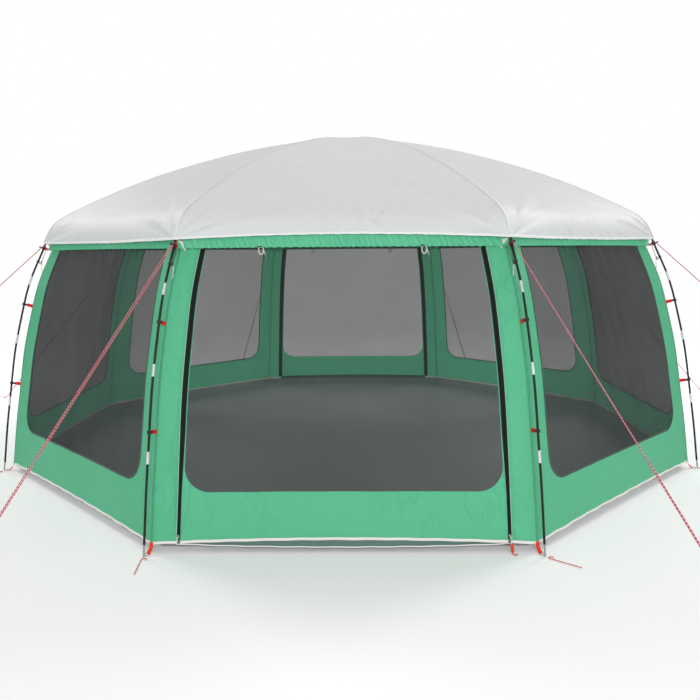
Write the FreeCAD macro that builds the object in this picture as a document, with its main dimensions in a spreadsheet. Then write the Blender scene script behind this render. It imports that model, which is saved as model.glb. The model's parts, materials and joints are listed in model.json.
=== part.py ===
# Eight-sided screen house with an arched pole frame, two zip-out doors, window walls and guy lines.
# Millimetres, +Z up, ground at Z = 0, origin at the centre of the floor, front door facing -Y.
# Parts are drawn about the +X direction, then turned about Z to their corner or wall.
import FreeCAD, Part
import Sketcher
import math
import os

V3 = FreeCAD.Vector
Placement = FreeCAD.Placement
Rotation = FreeCAD.Rotation
UP = V3(0, 0, 1)
ORIGIN = V3(0, 0, 0)

# ---------------------------------------------------------------- driving dimensions
DIMS = [
    ("corners", 8), ("side", 2071.0),
    ("pole_od", 12.7), ("pole_bore", 6.4), ("cord_od", 3.0),
    ("ferrule_od", 14.8), ("ferrule_len", 64.0), ("ferrule_gap", 0.25),
    ("tip_od", 9.6), ("tip_len", 64.0), ("crossing_step", 14.0),
    ("wall_inset", 60.0), ("fabric_t", 1.6), ("mesh_t", 0.8),
    ("wall_low", 56.5), ("wall_high", 1640.0),
    ("window_low", 325.0), ("window_high", 1600.0), ("window_radius", 140.0),
    ("window_strip", 0.085),
    ("door_share", 0.07), ("door_top", 1598.0), ("zip_gap", 8.0), ("tape_w", 8.5),
    ("hem_low", 44.0), ("hem_high", 56.0),
    ("floor_t", 2.0), ("floor_radius", 2629.0), ("upstand", 42.0), ("upstand_t", 2.0),
    ("valance_low", 1585.0), ("valance_high", 1651.0), ("valance_radius", 2288.0),
    ("roof_offset", 11.0), ("roof_t", 1.4), ("roof_edge", 1653.0),
    ("clip_low", 640.0), ("clip_high", 1200.0), ("clip_od", 23.0), ("clip_bore", 13.4),
    ("clip_width", 16.0), ("tab_width", 22.0), ("tab_t", 1.6),
    ("hook_at", 1592.0), ("hook_width", 20.0), ("hook_od", 24.0),
    ("knob_od", 11.0), ("knob_len", 20.0), ("elastic_at", 1500.0),
    ("guy_od", 3.6), ("guy_bore", 4.0), ("stake_out", 1400.0),
    ("tensioner_at", 1330.0), ("tensioner_len", 34.0), ("tensioner_w", 16.0),
    ("tensioner_t", 7.0),
    ("peg_od", 4.4), ("peg_len", 180.0), ("ring_od", 3.2), ("ring_size", 30.0),
    ("strap_w", 24.0), ("strap_t", 1.6),
    ("slider_at", 84.0), ("slider_len", 22.0), ("slider_w", 6.0), ("slider_depth", 9.0),
    ("pull_len", 30.0), ("pull_w", 5.0), ("pull_t", 2.2),
]
doc = FreeCAD.newDocument("screen_house")
sheet = doc.addObject("Spreadsheet::Sheet", "Sizes")
for row, (alias, value) in enumerate(DIMS, 1):
    sheet.set("A%d" % row, alias)
    sheet.set("B%d" % row, str(value))
    sheet.setAlias("B%d" % row, alias)
doc.recompute()


class Size:
    """A number together with the sheet expression it comes from."""

    def __init__(self, value, text):
        self.value = value
        self.text = text

    def joined(self, sign, other, value):
        return Size(value, "(%s %s %s)" % (self.text, sign, other.text))

    def __add__(self, other):
        other = as_size(other)
        return self.joined("+", other, self.value + other.value)

    def __sub__(self, other):
        other = as_size(other)
        return self.joined("-", other, self.value - other.value)

    def __mul__(self, other):
        other = as_size(other)
        return self.joined("*", other, self.value * other.value)

    def __truediv__(self, other):
        other = as_size(other)
        return self.joined("/", other, self.value / other.value)

    def __neg__(self):
        return self * -1.0


def as_size(x):
    return x if isinstance(x, Size) else Size(float(x), "(%r)" % float(x))


def num(alias):
    """Plain number from the sheet."""
    return float(sheet.get(alias))


def bound(alias):
    """Size that stays tied to the sheet."""
    return Size(num(alias), "Sizes." + alias)


# ---------------------------------------------------------------- the octagon
STEP = 45                                            # degrees from corner to corner
FIRST_CORNER = -112.5                                # direction of corner 0, front left
FRONT, BACK = -90.0, 90.0                            # directions of the two doors
COS_HALF = math.cos(math.radians(22.5))              # of half a step, corner to mid-wall
SIN_HALF = math.sin(math.radians(22.5))
TAN_HALF = math.tan(math.radians(22.5))
CORNER_NAMES = ["front_left", "front_right", "right_front", "right_back",
                "back_right", "back_left", "left_back", "left_front"]
# Fixed walls, numbered anticlockwise from the front door; 0 and 4 are the doors.
WALLS = {1: "right_front", 2: "right", 3: "right_back",
         5: "left_back", 6: "left", 7: "left_front"}


def corner_angle(i):
    return FIRST_CORNER + STEP * i


def wall_angle(k):
    return FRONT + STEP * k


def outward(i):
    """Level unit vector from the centre towards corner i."""
    angle = math.radians(corner_angle(i))
    return V3(math.cos(angle), math.sin(angle), 0)


def sideways(i):
    """Level unit vector square to outward(i), anticlockwise of it."""
    out = outward(i)
    return V3(-out.y, out.x, 0)


# ---------------------------------------------------------------- arch curves
POLES = 4
# Centreline of a leg and its roof arm in the radial plane of a corner: (radius, height),
# measured on a house whose side is MEASURED_SIDE.
MEASURED_SIDE = 2071.0
LEG = [(2704, -50), (2696, 0), (2655, 311), (2607, 621), (2566, 870),
       (2502, 1139), (2442, 1346), (2380, 1491), (2328, 1605), (2290, 1692),
       (2244, 1757), (2175, 1806), (2005, 1895), (1771, 2003), (1506, 2110),
       (1189, 2216), (913, 2296), (601, 2368), (300, 2421), (0, 2440)]
SCALE = num("side") / MEASURED_SIDE
LEG = [(r * SCALE, z * SCALE) for r, z in LEG]
CROSSING_REACH = 600.0                               # radius within which a pole dips


def arch_curve(k):
    """Arch k, foot to foot in its own upright plane, under the poles before it at the crossing."""
    drop = num("crossing_step") * k

    def lowered(r, z):
        q = abs(r) / CROSSING_REACH
        return z - (drop * (1 - q * q) ** 2 if q < 1 else 0.0)

    points = [(r, lowered(r, z)) for r, z in LEG]
    points += [(-r, lowered(r, z)) for r, z in reversed(LEG[:-1])]
    out = outward(k)
    curve = Part.BSplineCurve()
    curve.interpolate([V3(r * out.x, r * out.y, z) for r, z in points])
    return curve


CURVES = [arch_curve(k) for k in range(POLES)]
EDGES = [curve.toShape() for curve in CURVES]


def arc_start(k):
    """Length along arch k from its first point to the ground."""
    edge = EDGES[k]
    low, high = 0.0, 200.0
    for _ in range(40):
        middle = (low + high) / 2
        if edge.valueAt(edge.getParameterByLength(middle)).z < 0:
            low = middle
        else:
            high = middle
    return (low + high) / 2


STARTS = [arc_start(k) for k in range(POLES)]
TOTALS = [EDGES[k].Length - 2 * STARTS[k] for k in range(POLES)]


def arch_parameter(k, s):
    """Curve parameter at arc length s, measured from the ground at the arch's first foot."""
    return EDGES[k].getParameterByLength(STARTS[k] + s)


def arch_point(k, s):
    return EDGES[k].valueAt(arch_parameter(k, s))


# Arc lengths, from either foot, of the joints between pole sections.
JOINTS = [515.0, 967.0, 1395.0, 1990.0, 2430.0, 2870.0, 3310.0, 3750.0]
SHOULDER_START, SHOULDER_END = JOINTS[2], JOINTS[3]
POLE_START = num("tip_len") + 1.0
SHOULDER_STEP, PLAIN_STEP = 25.0, 75.0               # longest straight length of tube axis


# The sections run straight through their ferrules and bend between them, so the tubes follow
# a chain of short straight lengths whose corners lie on the arch.
def chain(k):
    """(arc length, point) at every corner of arch k's tube axis."""
    total = TOTALS[k]
    grip = num("ferrule_len") / 2 + 1.0
    held = [POLE_START]
    for joint in JOINTS:
        held += [joint - grip, joint + grip]
    held = held + [total - s for s in reversed(held)]
    stops = [held[0]]
    for s0, s1 in zip(held, held[1:]):
        middle = (s0 + s1) / 2
        if any(min(abs(j - middle), abs(total - j - middle)) < 0.01 for j in JOINTS):
            count = 1
        else:
            at_shoulder = SHOULDER_START < min(middle, total - middle) < SHOULDER_END
            count = int(math.ceil((s1 - s0) / (SHOULDER_STEP if at_shoulder else PLAIN_STEP)))
        stops += [s0 + (s1 - s0) * (i + 1) / count for i in range(count)]
    return [(s, arch_point(k, s)) for s in stops]


CHAINS = [chain(k) for k in range(POLES)]


def axis_points(k, s0, s1):
    """Corners of the tube axis of arch k from arc length s0 to s1."""
    def axis_point(s):
        for (a0, p0), (a1, p1) in zip(CHAINS[k], CHAINS[k][1:]):
            if a0 - 1e-9 <= s <= a1 + 1e-9:
                return p0 + (p1 - p0) * ((s - a0) / (a1 - a0))
        raise ValueError(s)

    between = [p for s, p in CHAINS[k] if s0 + 0.01 < s < s1 - 0.01]
    return [axis_point(s0)] + between + [axis_point(s1)]


def mitred_faces(k, points, d):
    """Cylinder faces of diameter d along the points, mitred at each corner, in arch k's plane."""
    side = sideways(k)

    def facing(at, way):
        return Placement(at, Rotation(side.cross(way), side, way, "ZYX"))

    ways = [(b - a).normalize() for a, b in zip(points, points[1:])]
    mitres = [(a + b).normalize() for a, b in zip(ways, ways[1:])]
    cuts = [ways[0]] + mitres + [ways[-1]]
    faces = []
    for i, way in enumerate(ways):
        start, end = points[i], points[i + 1]
        bar = Part.makeCylinder(d / 2, (end - start).Length + 2 * d)
        bar.Placement = facing(start - way * d, way)
        for at, normal in ((start, cuts[i] * -1), (end, cuts[i + 1] * 1)):
            box = Part.makeBox(4 * d, 4 * d, 4 * d, V3(-2 * d, -2 * d, 0))
            box.Placement = facing(at, normal)
            bar = bar.cut(box)
        faces += [f for f in bar.Faces if isinstance(f.Surface, Part.Cylinder)]
    return faces


def tube_along(k, s0, s1, outer, bore=0.0):
    """Round bar or tube of arch k from arc length s0 to s1."""
    points = axis_points(k, s0, s1)
    diameters = [d for d in (outer, bore) if d > 0]
    faces = []
    for d in diameters:
        faces += mitred_faces(k, points, d)
    ends = ((points[0], points[1] - points[0]), (points[-1], points[-1] - points[-2]))
    for at, way in ends:
        rims = [Part.Wire([Part.makeCircle(d / 2, at, way)]) for d in diameters]
        faces.append(Part.makeFace(rims, "Part::FaceMakerBullseye"))
    sewn = Part.makeShell(faces)
    sewn.sewShape(1e-4)
    solid = Part.Solid(sewn.Shells[0] if sewn.Shells else sewn)
    if solid.Volume < 0:
        solid.reverse()
    return solid


# ---------------------------------------------------------------- leg and wall position by height
# (radius, height) of the leg centreline every 10 mm along arch 0.
SAMPLES = []
for i in range(420):
    p = arch_point(0, i * 10.0)
    SAMPLES.append((math.hypot(p.x, p.y), p.z))


def leg_radius(z):
    for (r0, z0), (r1, z1) in zip(SAMPLES, SAMPLES[1:]):
        if z0 <= z <= z1:
            return r0 + (r1 - r0) * (z - z0) / max(z1 - z0, 1e-9)
    return SAMPLES[0][0] if z < 0 else SAMPLES[-1][0]


def leg_lean(z):
    """Lean of the leg from the vertical, degrees, positive towards the centre."""
    return math.degrees(math.atan2(leg_radius(z - 15) - leg_radius(z + 15), 30.0))


def wall_radius(z):
    """Distance from the centre to the wall's corner seam."""
    return leg_radius(z) - num("wall_inset")


FOOT_RADIUS = leg_radius(0.0)
RING_AT = FOOT_RADIUS - num("ring_size") * 0.62 - 6.0    # radius of a foot ring's centre
STAKE_RADIUS = FOOT_RADIUS + num("stake_out")

# ---------------------------------------------------------------- panel shapes, facing +X
REACH = 1300.0                                       # half width of an untrimmed panel
PRISM = 1500.0                                       # cutting prisms span X = PRISM to 2 * PRISM


def closed_face(points):
    return Part.Face(Part.makePolygon(points + [points[0]]))


def slab(outer, inner):
    """Strip between two profile lines of (outward distance, height), REACH wide each way."""
    ring = [V3(x, -REACH, z) for x, z in outer]
    ring += [V3(x, -REACH, z) for x, z in reversed(inner)]
    return closed_face(ring).extrude(V3(0, 2 * REACH, 0))


def profile(offset, z0, z1, step):
    """Wall profile in the middle plane of a panel, moved outward by offset."""
    count = max(2, int(round((z1 - z0) / step)) + 1)
    heights = [z0 + (z1 - z0) * i / (count - 1) for i in range(count)]
    return [(wall_radius(z) * COS_HALF + offset, z) for z in heights]


def wall_slab(offset0, offset1, z0, z1, step=60.0):
    """Layer of the wall from offset0 to offset1 outward of its middle surface."""
    return slab(profile(offset1, z0, z1, step), profile(offset0, z0, z1, step))


def share_angle(share):
    """Direction, in radians, of a place across the panel: 0 and 1 are its corners."""
    return math.atan((2 * share - 1) * TAN_HALF)


def wedge(share0, share1, gap0, gap1):
    """Prism between upright planes at two shares, each moved in by its gap."""
    far = 4000.0
    angle0, angle1 = share_angle(share0), share_angle(share1)

    def line(angle, gap):
        x, y = -math.sin(angle) * gap, math.cos(angle) * gap
        return V3(x, y, -100), V3(x + far * math.cos(angle), y + far * math.sin(angle), -100)

    near0, far0 = line(angle0, gap0)
    near1, far1 = line(angle1, -gap1)
    # where the two moved planes meet
    det = math.cos(angle0) * -math.sin(angle1) + math.sin(angle0) * math.cos(angle1)
    dx, dy = near1.x - near0.x, near1.y - near0.y
    along = (dx * -math.sin(angle1) + dy * math.cos(angle1)) / det
    tip = V3(near0.x + along * math.cos(angle0), near0.y + along * math.sin(angle0), -100)
    return closed_face([tip, far0, far1]).extrude(V3(0, 0, 3000))


def wall_shell(offset0, offset1, z0, z1, share0, share1, gap0, gap1):
    return wall_slab(offset0, offset1, z0, z1).common(wedge(share0, share1, gap0, gap1))


def outward_prism(points):
    """Outline of (sideways, height) points drawn straight out through the wall."""
    return closed_face([V3(PRISM, y, z) for y, z in points]).extrude(V3(PRISM, 0, 0))


def window_prism(share, low, high, grow):
    """Window cutter: sides follow the panel's taper, lower corners are rounded."""
    radius = num("window_radius")
    low -= grow
    high += grow

    def half(z):
        return (0.5 - share) * 2 * wall_radius(max(z, 60.0)) * SIN_HALF + grow

    points = []
    for i in range(7):
        angle = math.pi / 2 * i / 6
        points.append((half(low + radius) - radius + radius * math.sin(angle),
                       low + radius - radius * math.cos(angle)))
    for i in range(1, 13):
        z = low + radius + (high - low - radius) * i / 12.0
        points.append((half(z), z))
    return outward_prism(points + [(-y, z) for y, z in reversed(points)])


def wall_window(grow=0.0):
    return window_prism(num("window_strip"), num("window_low"), num("window_high"), grow)


def door_window(grow=0.0):
    """Runs past the top of the door leaf, so that the window is open there."""
    return window_prism(num("door_share") + 0.0075, num("window_low") - 12.0, 2000.0, grow)


def solid_of(shape):
    """Plain solids of a boolean result."""
    found = [x for x in shape.Solids if x.Volume > 1.0]
    return found[0] if len(found) == 1 else Part.makeCompound(found)


def turned(shape, angle):
    copy = shape.copy()
    copy.rotate(ORIGIN, UP, angle)
    return copy


# ---------------------------------------------------------------- document helpers
NODES = []


def feature(label, shape):
    node = doc.addObject("Part::Feature", label)
    node.Label = label
    node.Shape = shape
    node.Placement = shape.Placement
    NODES.append(node)


def group(label, shapes):
    feature(label, Part.makeCompound([solid for shape in shapes for solid in shape.Solids]))


def new_body(label, turn=FIRST_CORNER):
    body = doc.addObject("PartDesign::Body", label)
    body.Label = label
    body.AllowCompound = True
    body.Placement = Placement(ORIGIN, Rotation(UP, turn))
    NODES.append(body)
    return body


def origin_part(body, role):
    return [f for f in body.Origin.OriginFeatures if f.Role == role][0]


def new_sketch(body, plane, name, at=(0, 0, 0), lean=0.0):
    """Sketch on an origin plane, its origin moved to at and leaned about the body's Y axis."""
    base = Rotation() if plane == "XY_Plane" else Rotation(V3(1, 0, 0), 90)
    sketch = body.newObject("Sketcher::SketchObject", name)
    sketch.AttachmentSupport = (origin_part(body, plane), [""])
    sketch.MapMode = "FlatFace"
    wanted = Placement(V3(*at), Rotation(V3(0, 1, 0), lean).multiply(base))
    sketch.AttachmentOffset = Placement(ORIGIN, base).inverse().multiply(wanted)
    return sketch


def leg_sketch(body, plane, name, z, extra_lean=0.0):
    """Sketch centred on the leg at height z, leaning with it."""
    return new_sketch(body, plane, name, (leg_radius(z), 0, z), extra_lean - leg_lean(z))


def constrain(sketch, kind, args, size):
    """Driving constraint whose value follows the sheet."""
    i = sketch.addConstraint(Sketcher.Constraint(kind, *(list(args) + [size.value])))
    sketch.setExpression("Constraints[%d]" % i, size.text)


def polygon(sketch, points):
    """Closed outline whose corners are held at sheet sizes from the sketch origin."""
    points = [(as_size(x), as_size(y)) for x, y in points]
    lines = []
    for (x, y), (x2, y2) in zip(points, points[1:] + points[:1]):
        segment = Part.LineSegment(V3(x.value, y.value, 0), V3(x2.value, y2.value, 0))
        lines.append(sketch.addGeometry(segment, False))
    for line, following in zip(lines, lines[1:] + lines[:1]):
        sketch.addConstraint(Sketcher.Constraint("Coincident", line, 2, following, 1))
    for line, (x, y) in zip(lines, points):
        constrain(sketch, "DistanceX", (-1, 1, line, 1), x)
        constrain(sketch, "DistanceY", (-1, 1, line, 1), y)


def circle(sketch, radius):
    """Circle about the sketch origin."""
    ring = sketch.addGeometry(Part.Circle(ORIGIN, UP, radius.value), False)
    constrain(sketch, "DistanceX", (-1, 1, ring, 3), as_size(0))
    constrain(sketch, "DistanceY", (-1, 1, ring, 3), as_size(0))
    constrain(sketch, "Radius", (ring,), radius)


def pad(body, sketch, length, name):
    """Pad centred on the sketch plane."""
    made = body.newObject("PartDesign::Pad", name)
    made.Profile = sketch
    length = as_size(length)
    made.Length = length.value
    made.setExpression("Length", length.text)
    made.SideType = "Symmetric"
    sketch.Visibility = False
    return made


def ring_pad(body, sketch, outer, bore, length, name):
    """Ring of two radii about the sketch origin."""
    circle(sketch, outer)
    circle(sketch, bore)
    return pad(body, sketch, length, name)


def shape_pad(body, sketch, points, length, name):
    polygon(sketch, points)
    return pad(body, sketch, length, name)


def revolve(body, sketch, points, name):
    """Outline turned fully about the sketch's own vertical axis."""
    polygon(sketch, points)
    made = body.newObject("PartDesign::Revolution", name)
    made.Profile = sketch
    made.ReferenceAxis = (sketch, ["V_Axis"])
    made.Angle = 360
    return made


def repeat_at_corners(body, features):
    doc.recompute()
    pattern = body.newObject("PartDesign::PolarPattern", "around")
    pattern.Originals = features
    pattern.Axis = (origin_part(body, "Z_Axis"), [""])
    pattern.Angle = 360
    pattern.Occurrences = int(num("corners"))
    pattern.setExpression("Occurrences", "Sizes.corners")
    body.Tip = pattern
    doc.recompute()


# ---------------------------------------------------------------- groundsheet
def octagon(radius):
    angles = [math.radians(STEP * i) for i in range(8)]
    return [(radius * math.cos(a), radius * math.sin(a)) for a in angles]


def build_groundsheet():
    """Flat floor sheet with a low upright edge round it."""
    body = new_body("groundsheet")
    floor = octagon(bound("floor_radius"))
    edge = octagon(bound("floor_radius") + bound("upstand_t"))
    for name, outlines, depth, pad_name in (
            ("floor_outline", [floor], "floor_t", "floor_sheet"),
            ("upstand_outline", [edge, floor], "upstand", "upstand_edge")):
        sketch = new_sketch(body, "XY_Plane", name, at=(0, 0, num(depth) / 2))
        for outline in outlines:
            polygon(sketch, outline)
        sketch.setExpression("AttachmentOffset.Base.z", "Sizes.%s / 2" % depth)
        pad(body, sketch, bound(depth), pad_name)
    doc.recompute()


# ---------------------------------------------------------------- pole frame
def build_poles():
    """Pole sections, ferrules over their joints, shoulder elbows, and the cord inside."""
    end_gap = 0.3                                    # taken off each end of a section
    cord_start = num("tip_len") + 4.0
    half_ferrule = num("ferrule_len") / 2
    ferrule_bore = num("pole_od") + 2 * num("ferrule_gap")
    breaks = [POLE_START] + JOINTS
    ferrules, elbows, cords = [], [], []
    for k in range(POLES):
        total = TOTALS[k]
        first, last = CHAINS[k][0][0], CHAINS[k][-1][0]

        def section(s0, s1):
            return tube_along(k, max(s0 + end_gap, first), min(s1 - end_gap, last),
                              num("pole_od"), num("pole_bore"))

        sections = []
        for s0, s1 in zip(breaks, breaks[1:]):
            kind = elbows if s1 == SHOULDER_END else sections
            kind.append(section(s0, s1))
            kind.append(section(total - s1, total - s0))
        sections.append(section(JOINTS[-1], total - JOINTS[-1]))
        group("arch_pole_%d" % (k + 1), sections)
        for joint in JOINTS:
            for s in (joint, total - joint):
                ferrules.append(tube_along(k, s - half_ferrule, s + half_ferrule,
                                           num("ferrule_od"), ferrule_bore))
        cords.append(tube_along(k, cord_start, total - cord_start, num("cord_od")))
    group("pole_ferrules", ferrules)
    group("shoulder_elbows", elbows)
    group("shock_cords", cords)


def build_foot_tips():
    """Steel tips under the legs, narrowed at the ground."""
    body = new_body("foot_tips")
    sketch = new_sketch(body, "XZ_Plane", "tip_half", (FOOT_RADIUS, 0, 0.0), -leg_lean(30.0))
    radius, length = bound("tip_od") / 2, bound("tip_len")
    tip = revolve(body, sketch, [(0, 1.2), (radius - 1.6, 1.2), (radius, 4.0),
                                 (radius, length), (0, length)], "tip")
    repeat_at_corners(body, [tip])


def build_foot_rings():
    """Flat-lying ring just inside each foot tip."""
    body = new_body("foot_ring_pins")
    sketch = new_sketch(body, "XY_Plane", "ring_outline", at=(RING_AT, 0, 6.0))
    outer = bound("ring_size") / 2
    ring = ring_pad(body, sketch, outer, outer - bound("ring_od"), bound("ring_od"), "ring")
    repeat_at_corners(body, [ring])


def build_base_straps():
    """Webbing strap from the wall's base corner to the ring."""
    body = new_body("base_straps")
    seam = wall_radius(50.0)
    back = seam + 4.0                                # inner face of the upright part
    front = bound("strap_t") + back
    end = RING_AT - 12.4
    strap = shape_pad(body, new_sketch(body, "XZ_Plane", "strap_side"),
                      [(back, 30.0), (back, 52.0), (front, 52.0), (front, 31.0),
                       (end, 11.0), (end, 9.2), (seam + 6.5, 23.0)],
                      bound("strap_w"), "strap")
    repeat_at_corners(body, [strap])


def peg(at, heading):
    """Round wire peg lying on the ground, bent to a hook at the end near at."""
    radius = num("peg_od") / 2
    bend = 12.0
    tip = V3(num("peg_len"), 0, radius)
    bend_start = V3(bend, 0, radius)
    bend_end = V3(bend, 2 * bend, radius)
    wire = Part.Wire([
        Part.makeLine(tip, bend_start),
        Part.Arc(bend_start, V3(0, bend, radius), bend_end).toShape(),
        Part.makeLine(bend_end, V3(bend + 10.0, 2 * bend, radius)),
    ])
    rim = Part.Wire([Part.makeCircle(radius, tip, V3(-1, 0, 0))])
    bar = wire.makePipeShell([rim], True, True)
    bar.translate(V3(0, -bend, 0))
    bar.rotate(ORIGIN, UP, heading)
    bar.translate(at)
    return bar


def build_pegs():
    """A peg beside each foot and one at the end of each guy line."""
    pegs = []
    for i in range(8):
        beside_foot = outward(i) * (FOOT_RADIUS + 12.0) + sideways(i) * 14.0
        pegs.append(peg(beside_foot, corner_angle(i) + 28.0))
        pegs.append(peg(outward(i) * (STAKE_RADIUS - 2.0), corner_angle(i)))
    group("ground_pegs", pegs)


# ---------------------------------------------------------------- fittings on the legs
def build_pole_clips():
    """Two clips on each leg: a ring and a tongue towards the wall."""
    body = new_body("pole_clips")
    made = []
    root = bound("clip_od") / -2 + 1.0
    end = bound("clip_od") / -2 - 9.0
    for tag in ("low", "high"):
        z = num("clip_" + tag)
        sketch = leg_sketch(body, "XY_Plane", "ring_" + tag, z)
        made.append(ring_pad(body, sketch, bound("clip_od") / 2, bound("clip_bore") / 2,
                             bound("clip_width"), "clip_ring_" + tag))
        sketch = leg_sketch(body, "XY_Plane", "tongue_" + tag, z)
        made.append(shape_pad(body, sketch,
                              [(end, -5.0), (root, -5.0), (root, 5.0), (end, 5.0)],
                              bound("clip_width") - 4.0, "clip_tongue_" + tag))
    repeat_at_corners(body, made)


def build_wall_tabs():
    """Webbing tabs on the wall side of the clips and of the eave hooks."""
    body = new_body("wall_tabs")
    clip_end = bound("clip_od") / -2 - 10.0
    seam_end = -bound("wall_inset") + 5.5
    hook_end = bound("hook_od") / -2 - 1.0
    half = bound("tab_width") / 2
    made = []
    # name, height, end at the leg, end at the wall, half height at the wall
    for tag, z, x_leg, x_wall, half_height in (
            ("low", num("clip_low"), clip_end, seam_end, half),
            ("high", num("clip_high"), clip_end, seam_end, half),
            ("eave", num("hook_at"), hook_end, hook_end - 12.0, bound("tab_width") / 4)):
        sketch = leg_sketch(body, "XZ_Plane", "tab_" + tag, z)
        made.append(shape_pad(body, sketch,
                              [(x_wall, -half_height), (x_leg, half_height * -0.8),
                               (x_leg, half_height * 0.8), (x_wall, half_height)],
                              bound("tab_t"), "web_" + tag))
    repeat_at_corners(body, made)


def build_eave_hooks():
    """Collar on each leg at the eave, with the outward knob that carries the guy line."""
    body = new_body("eave_hooks")
    z = num("hook_at")
    sketch = leg_sketch(body, "XY_Plane", "collar_outline", z)
    collar = ring_pad(body, sketch, bound("hook_od") / 2, bound("clip_bore") / 2,
                      bound("hook_width"), "collar")
    sketch = leg_sketch(body, "XZ_Plane", "knob_half", z, extra_lean=90.0)
    root = bound("hook_od") / 2 - 1.0
    radius, length = bound("knob_od") / 2, bound("knob_len")
    stem = radius * 0.6
    knob = revolve(body, sketch,
                   [(0, root), (stem, root), (stem, root + length * 0.6),
                    (radius, root + length * 0.65), (radius, root + length * 0.9),
                    (radius * 0.7, root + length), (0, root + length)], "knob")
    repeat_at_corners(body, [collar, knob])


def build_reflective_patches():
    """Triangle on the front, back, right and left walls beside each of their eave corners."""
    z0, z1 = 1515.0, 1580.0
    y = wall_radius(1560.0) * SIN_HALF - 46.0
    layer = wall_slab(2.4, 3.4, z0, z1, step=20.0)
    cutter = outward_prism([(y - 24, z1), (y + 30, z1), (y + 2, z0)])
    mirrored = cutter.mirror(ORIGIN, V3(0, 1, 0))
    pair = [solid_of(layer.common(mirrored)), solid_of(layer.common(cutter))]
    group("reflective_patches",
          [turned(patch, wall_angle(k)) for k in (0, 4, 2, 6) for patch in pair])


def build_corner_elastics():
    """Small hook and elastic loop below each eave hook, and the cord tail under the loop."""
    z = num("elastic_at")
    body = new_body("corner_elastics")
    sketch = leg_sketch(body, "XY_Plane", "hook_outline", z)
    hook = ring_pad(body, sketch, bound("clip_od") / 2 - 1.5, bound("clip_bore") / 2,
                    12.0, "small_hook")
    sketch = leg_sketch(body, "XZ_Plane", "elastic_side", z)
    loop = shape_pad(body, sketch, [(-15.0, -4.0), (-9.0, -4.0), (-9.0, 5.5),
                                    (-12.5, 78.0), (-15.0, 78.0)], 5.0, "elastic_loop")
    repeat_at_corners(body, [hook, loop])

    body = new_body("elastic_tails")
    sketch = leg_sketch(body, "XZ_Plane", "tail_side", z)
    tail = shape_pad(body, sketch, [(-19.0, -8.0), (-14.0, -6.0),
                                    (-14.5, -58.0), (-18.0, -66.0)], 4.0, "tail")
    repeat_at_corners(body, [tail])


# ---------------------------------------------------------------- guy lines and tensioners
def build_tensioner(name, placement):
    """Rounded bar on a guy line, bored lengthwise for it."""
    length, width, depth = num("tensioner_len"), num("tensioner_w"), num("tensioner_t")
    overrun = 10                                     # of the hole past each end
    box = doc.addObject("Part::Box", "bar_" + name)
    box.setExpression("Length", "Sizes.tensioner_len")
    box.setExpression("Width", "Sizes.tensioner_w")
    box.setExpression("Height", "Sizes.tensioner_t")
    box.Placement = Placement(V3(-length / 2, -width / 2, -depth / 2), Rotation())
    rounded = doc.addObject("Part::Fillet", "rounded_" + name)
    rounded.Base = box
    doc.recompute()
    upright = [j for j, edge in enumerate(box.Shape.Edges, 1)
               if abs(edge.tangentAt(edge.FirstParameter).z) > 0.9]
    rounded.Edges = [(j, 5.0, 5.0) for j in upright]
    hole = doc.addObject("Part::Cylinder", "hole_" + name)
    hole.setExpression("Radius", "Sizes.guy_bore / 2")
    hole.setExpression("Height", "Sizes.tensioner_len + %d" % (2 * overrun))
    hole.Placement = Placement(V3(-length / 2 - overrun, 0, 0), Rotation(V3(0, 1, 0), 90))
    cut = doc.addObject("Part::Cut", "guy_tensioner_" + name)
    cut.Base = rounded
    cut.Tool = hole
    cut.Label = "guy_tensioner_" + name
    cut.Placement = placement
    NODES.append(cut)


def build_guys():
    """Lines from the eave knobs to the outer pegs, with a tensioner on each."""
    z = num("hook_at")
    lean = math.radians(leg_lean(z))
    reach = num("hook_od") / 2 + num("knob_len") * 0.3
    top = V3(leg_radius(z) + reach * math.cos(lean) + 6.0, 0,
             z + reach * math.sin(lean) - 10.0)
    run = V3(STAKE_RADIUS - 8.0, 0, 5.2) - top
    way = V3(run)
    way.normalize()
    line = Part.makeCylinder(num("guy_od") / 2, run.Length, top, way)
    group("guy_lines", [turned(line, corner_angle(i)) for i in range(8)])
    on_line = Placement(top + way * num("tensioner_at"), Rotation(V3(1, 0, 0), way))
    for i, name in enumerate(CORNER_NAMES):
        turn = Placement(ORIGIN, Rotation(UP, corner_angle(i)))
        build_tensioner(name, turn.multiply(on_line))
    doc.recompute()


# ---------------------------------------------------------------- roof
def offset_profile(line, offset):
    """Profile moved square to itself, straight up at its last point."""
    moved = []
    for i, (r, z) in enumerate(line):
        r0, z0 = line[max(i - 1, 0)]
        r1, z1 = line[min(i + 1, len(line) - 1)]
        length = math.hypot(r1 - r0, z1 - z0)
        normal_r, normal_z = (z1 - z0) / length, -(r1 - r0) / length
        if i == len(line) - 1:
            normal_r, normal_z = 0.0, 1.0
        moved.append((r + normal_r * offset, z + normal_z * offset))
    return moved


def thinned(line, spacing):
    """Points at least spacing apart; both ends are kept."""
    kept = [line[0]]
    for r, z in line[1:-1]:
        if math.hypot(r - kept[-1][0], z - kept[-1][1]) >= spacing:
            kept.append((r, z))
    kept.append(line[-1])
    return kept


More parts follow.
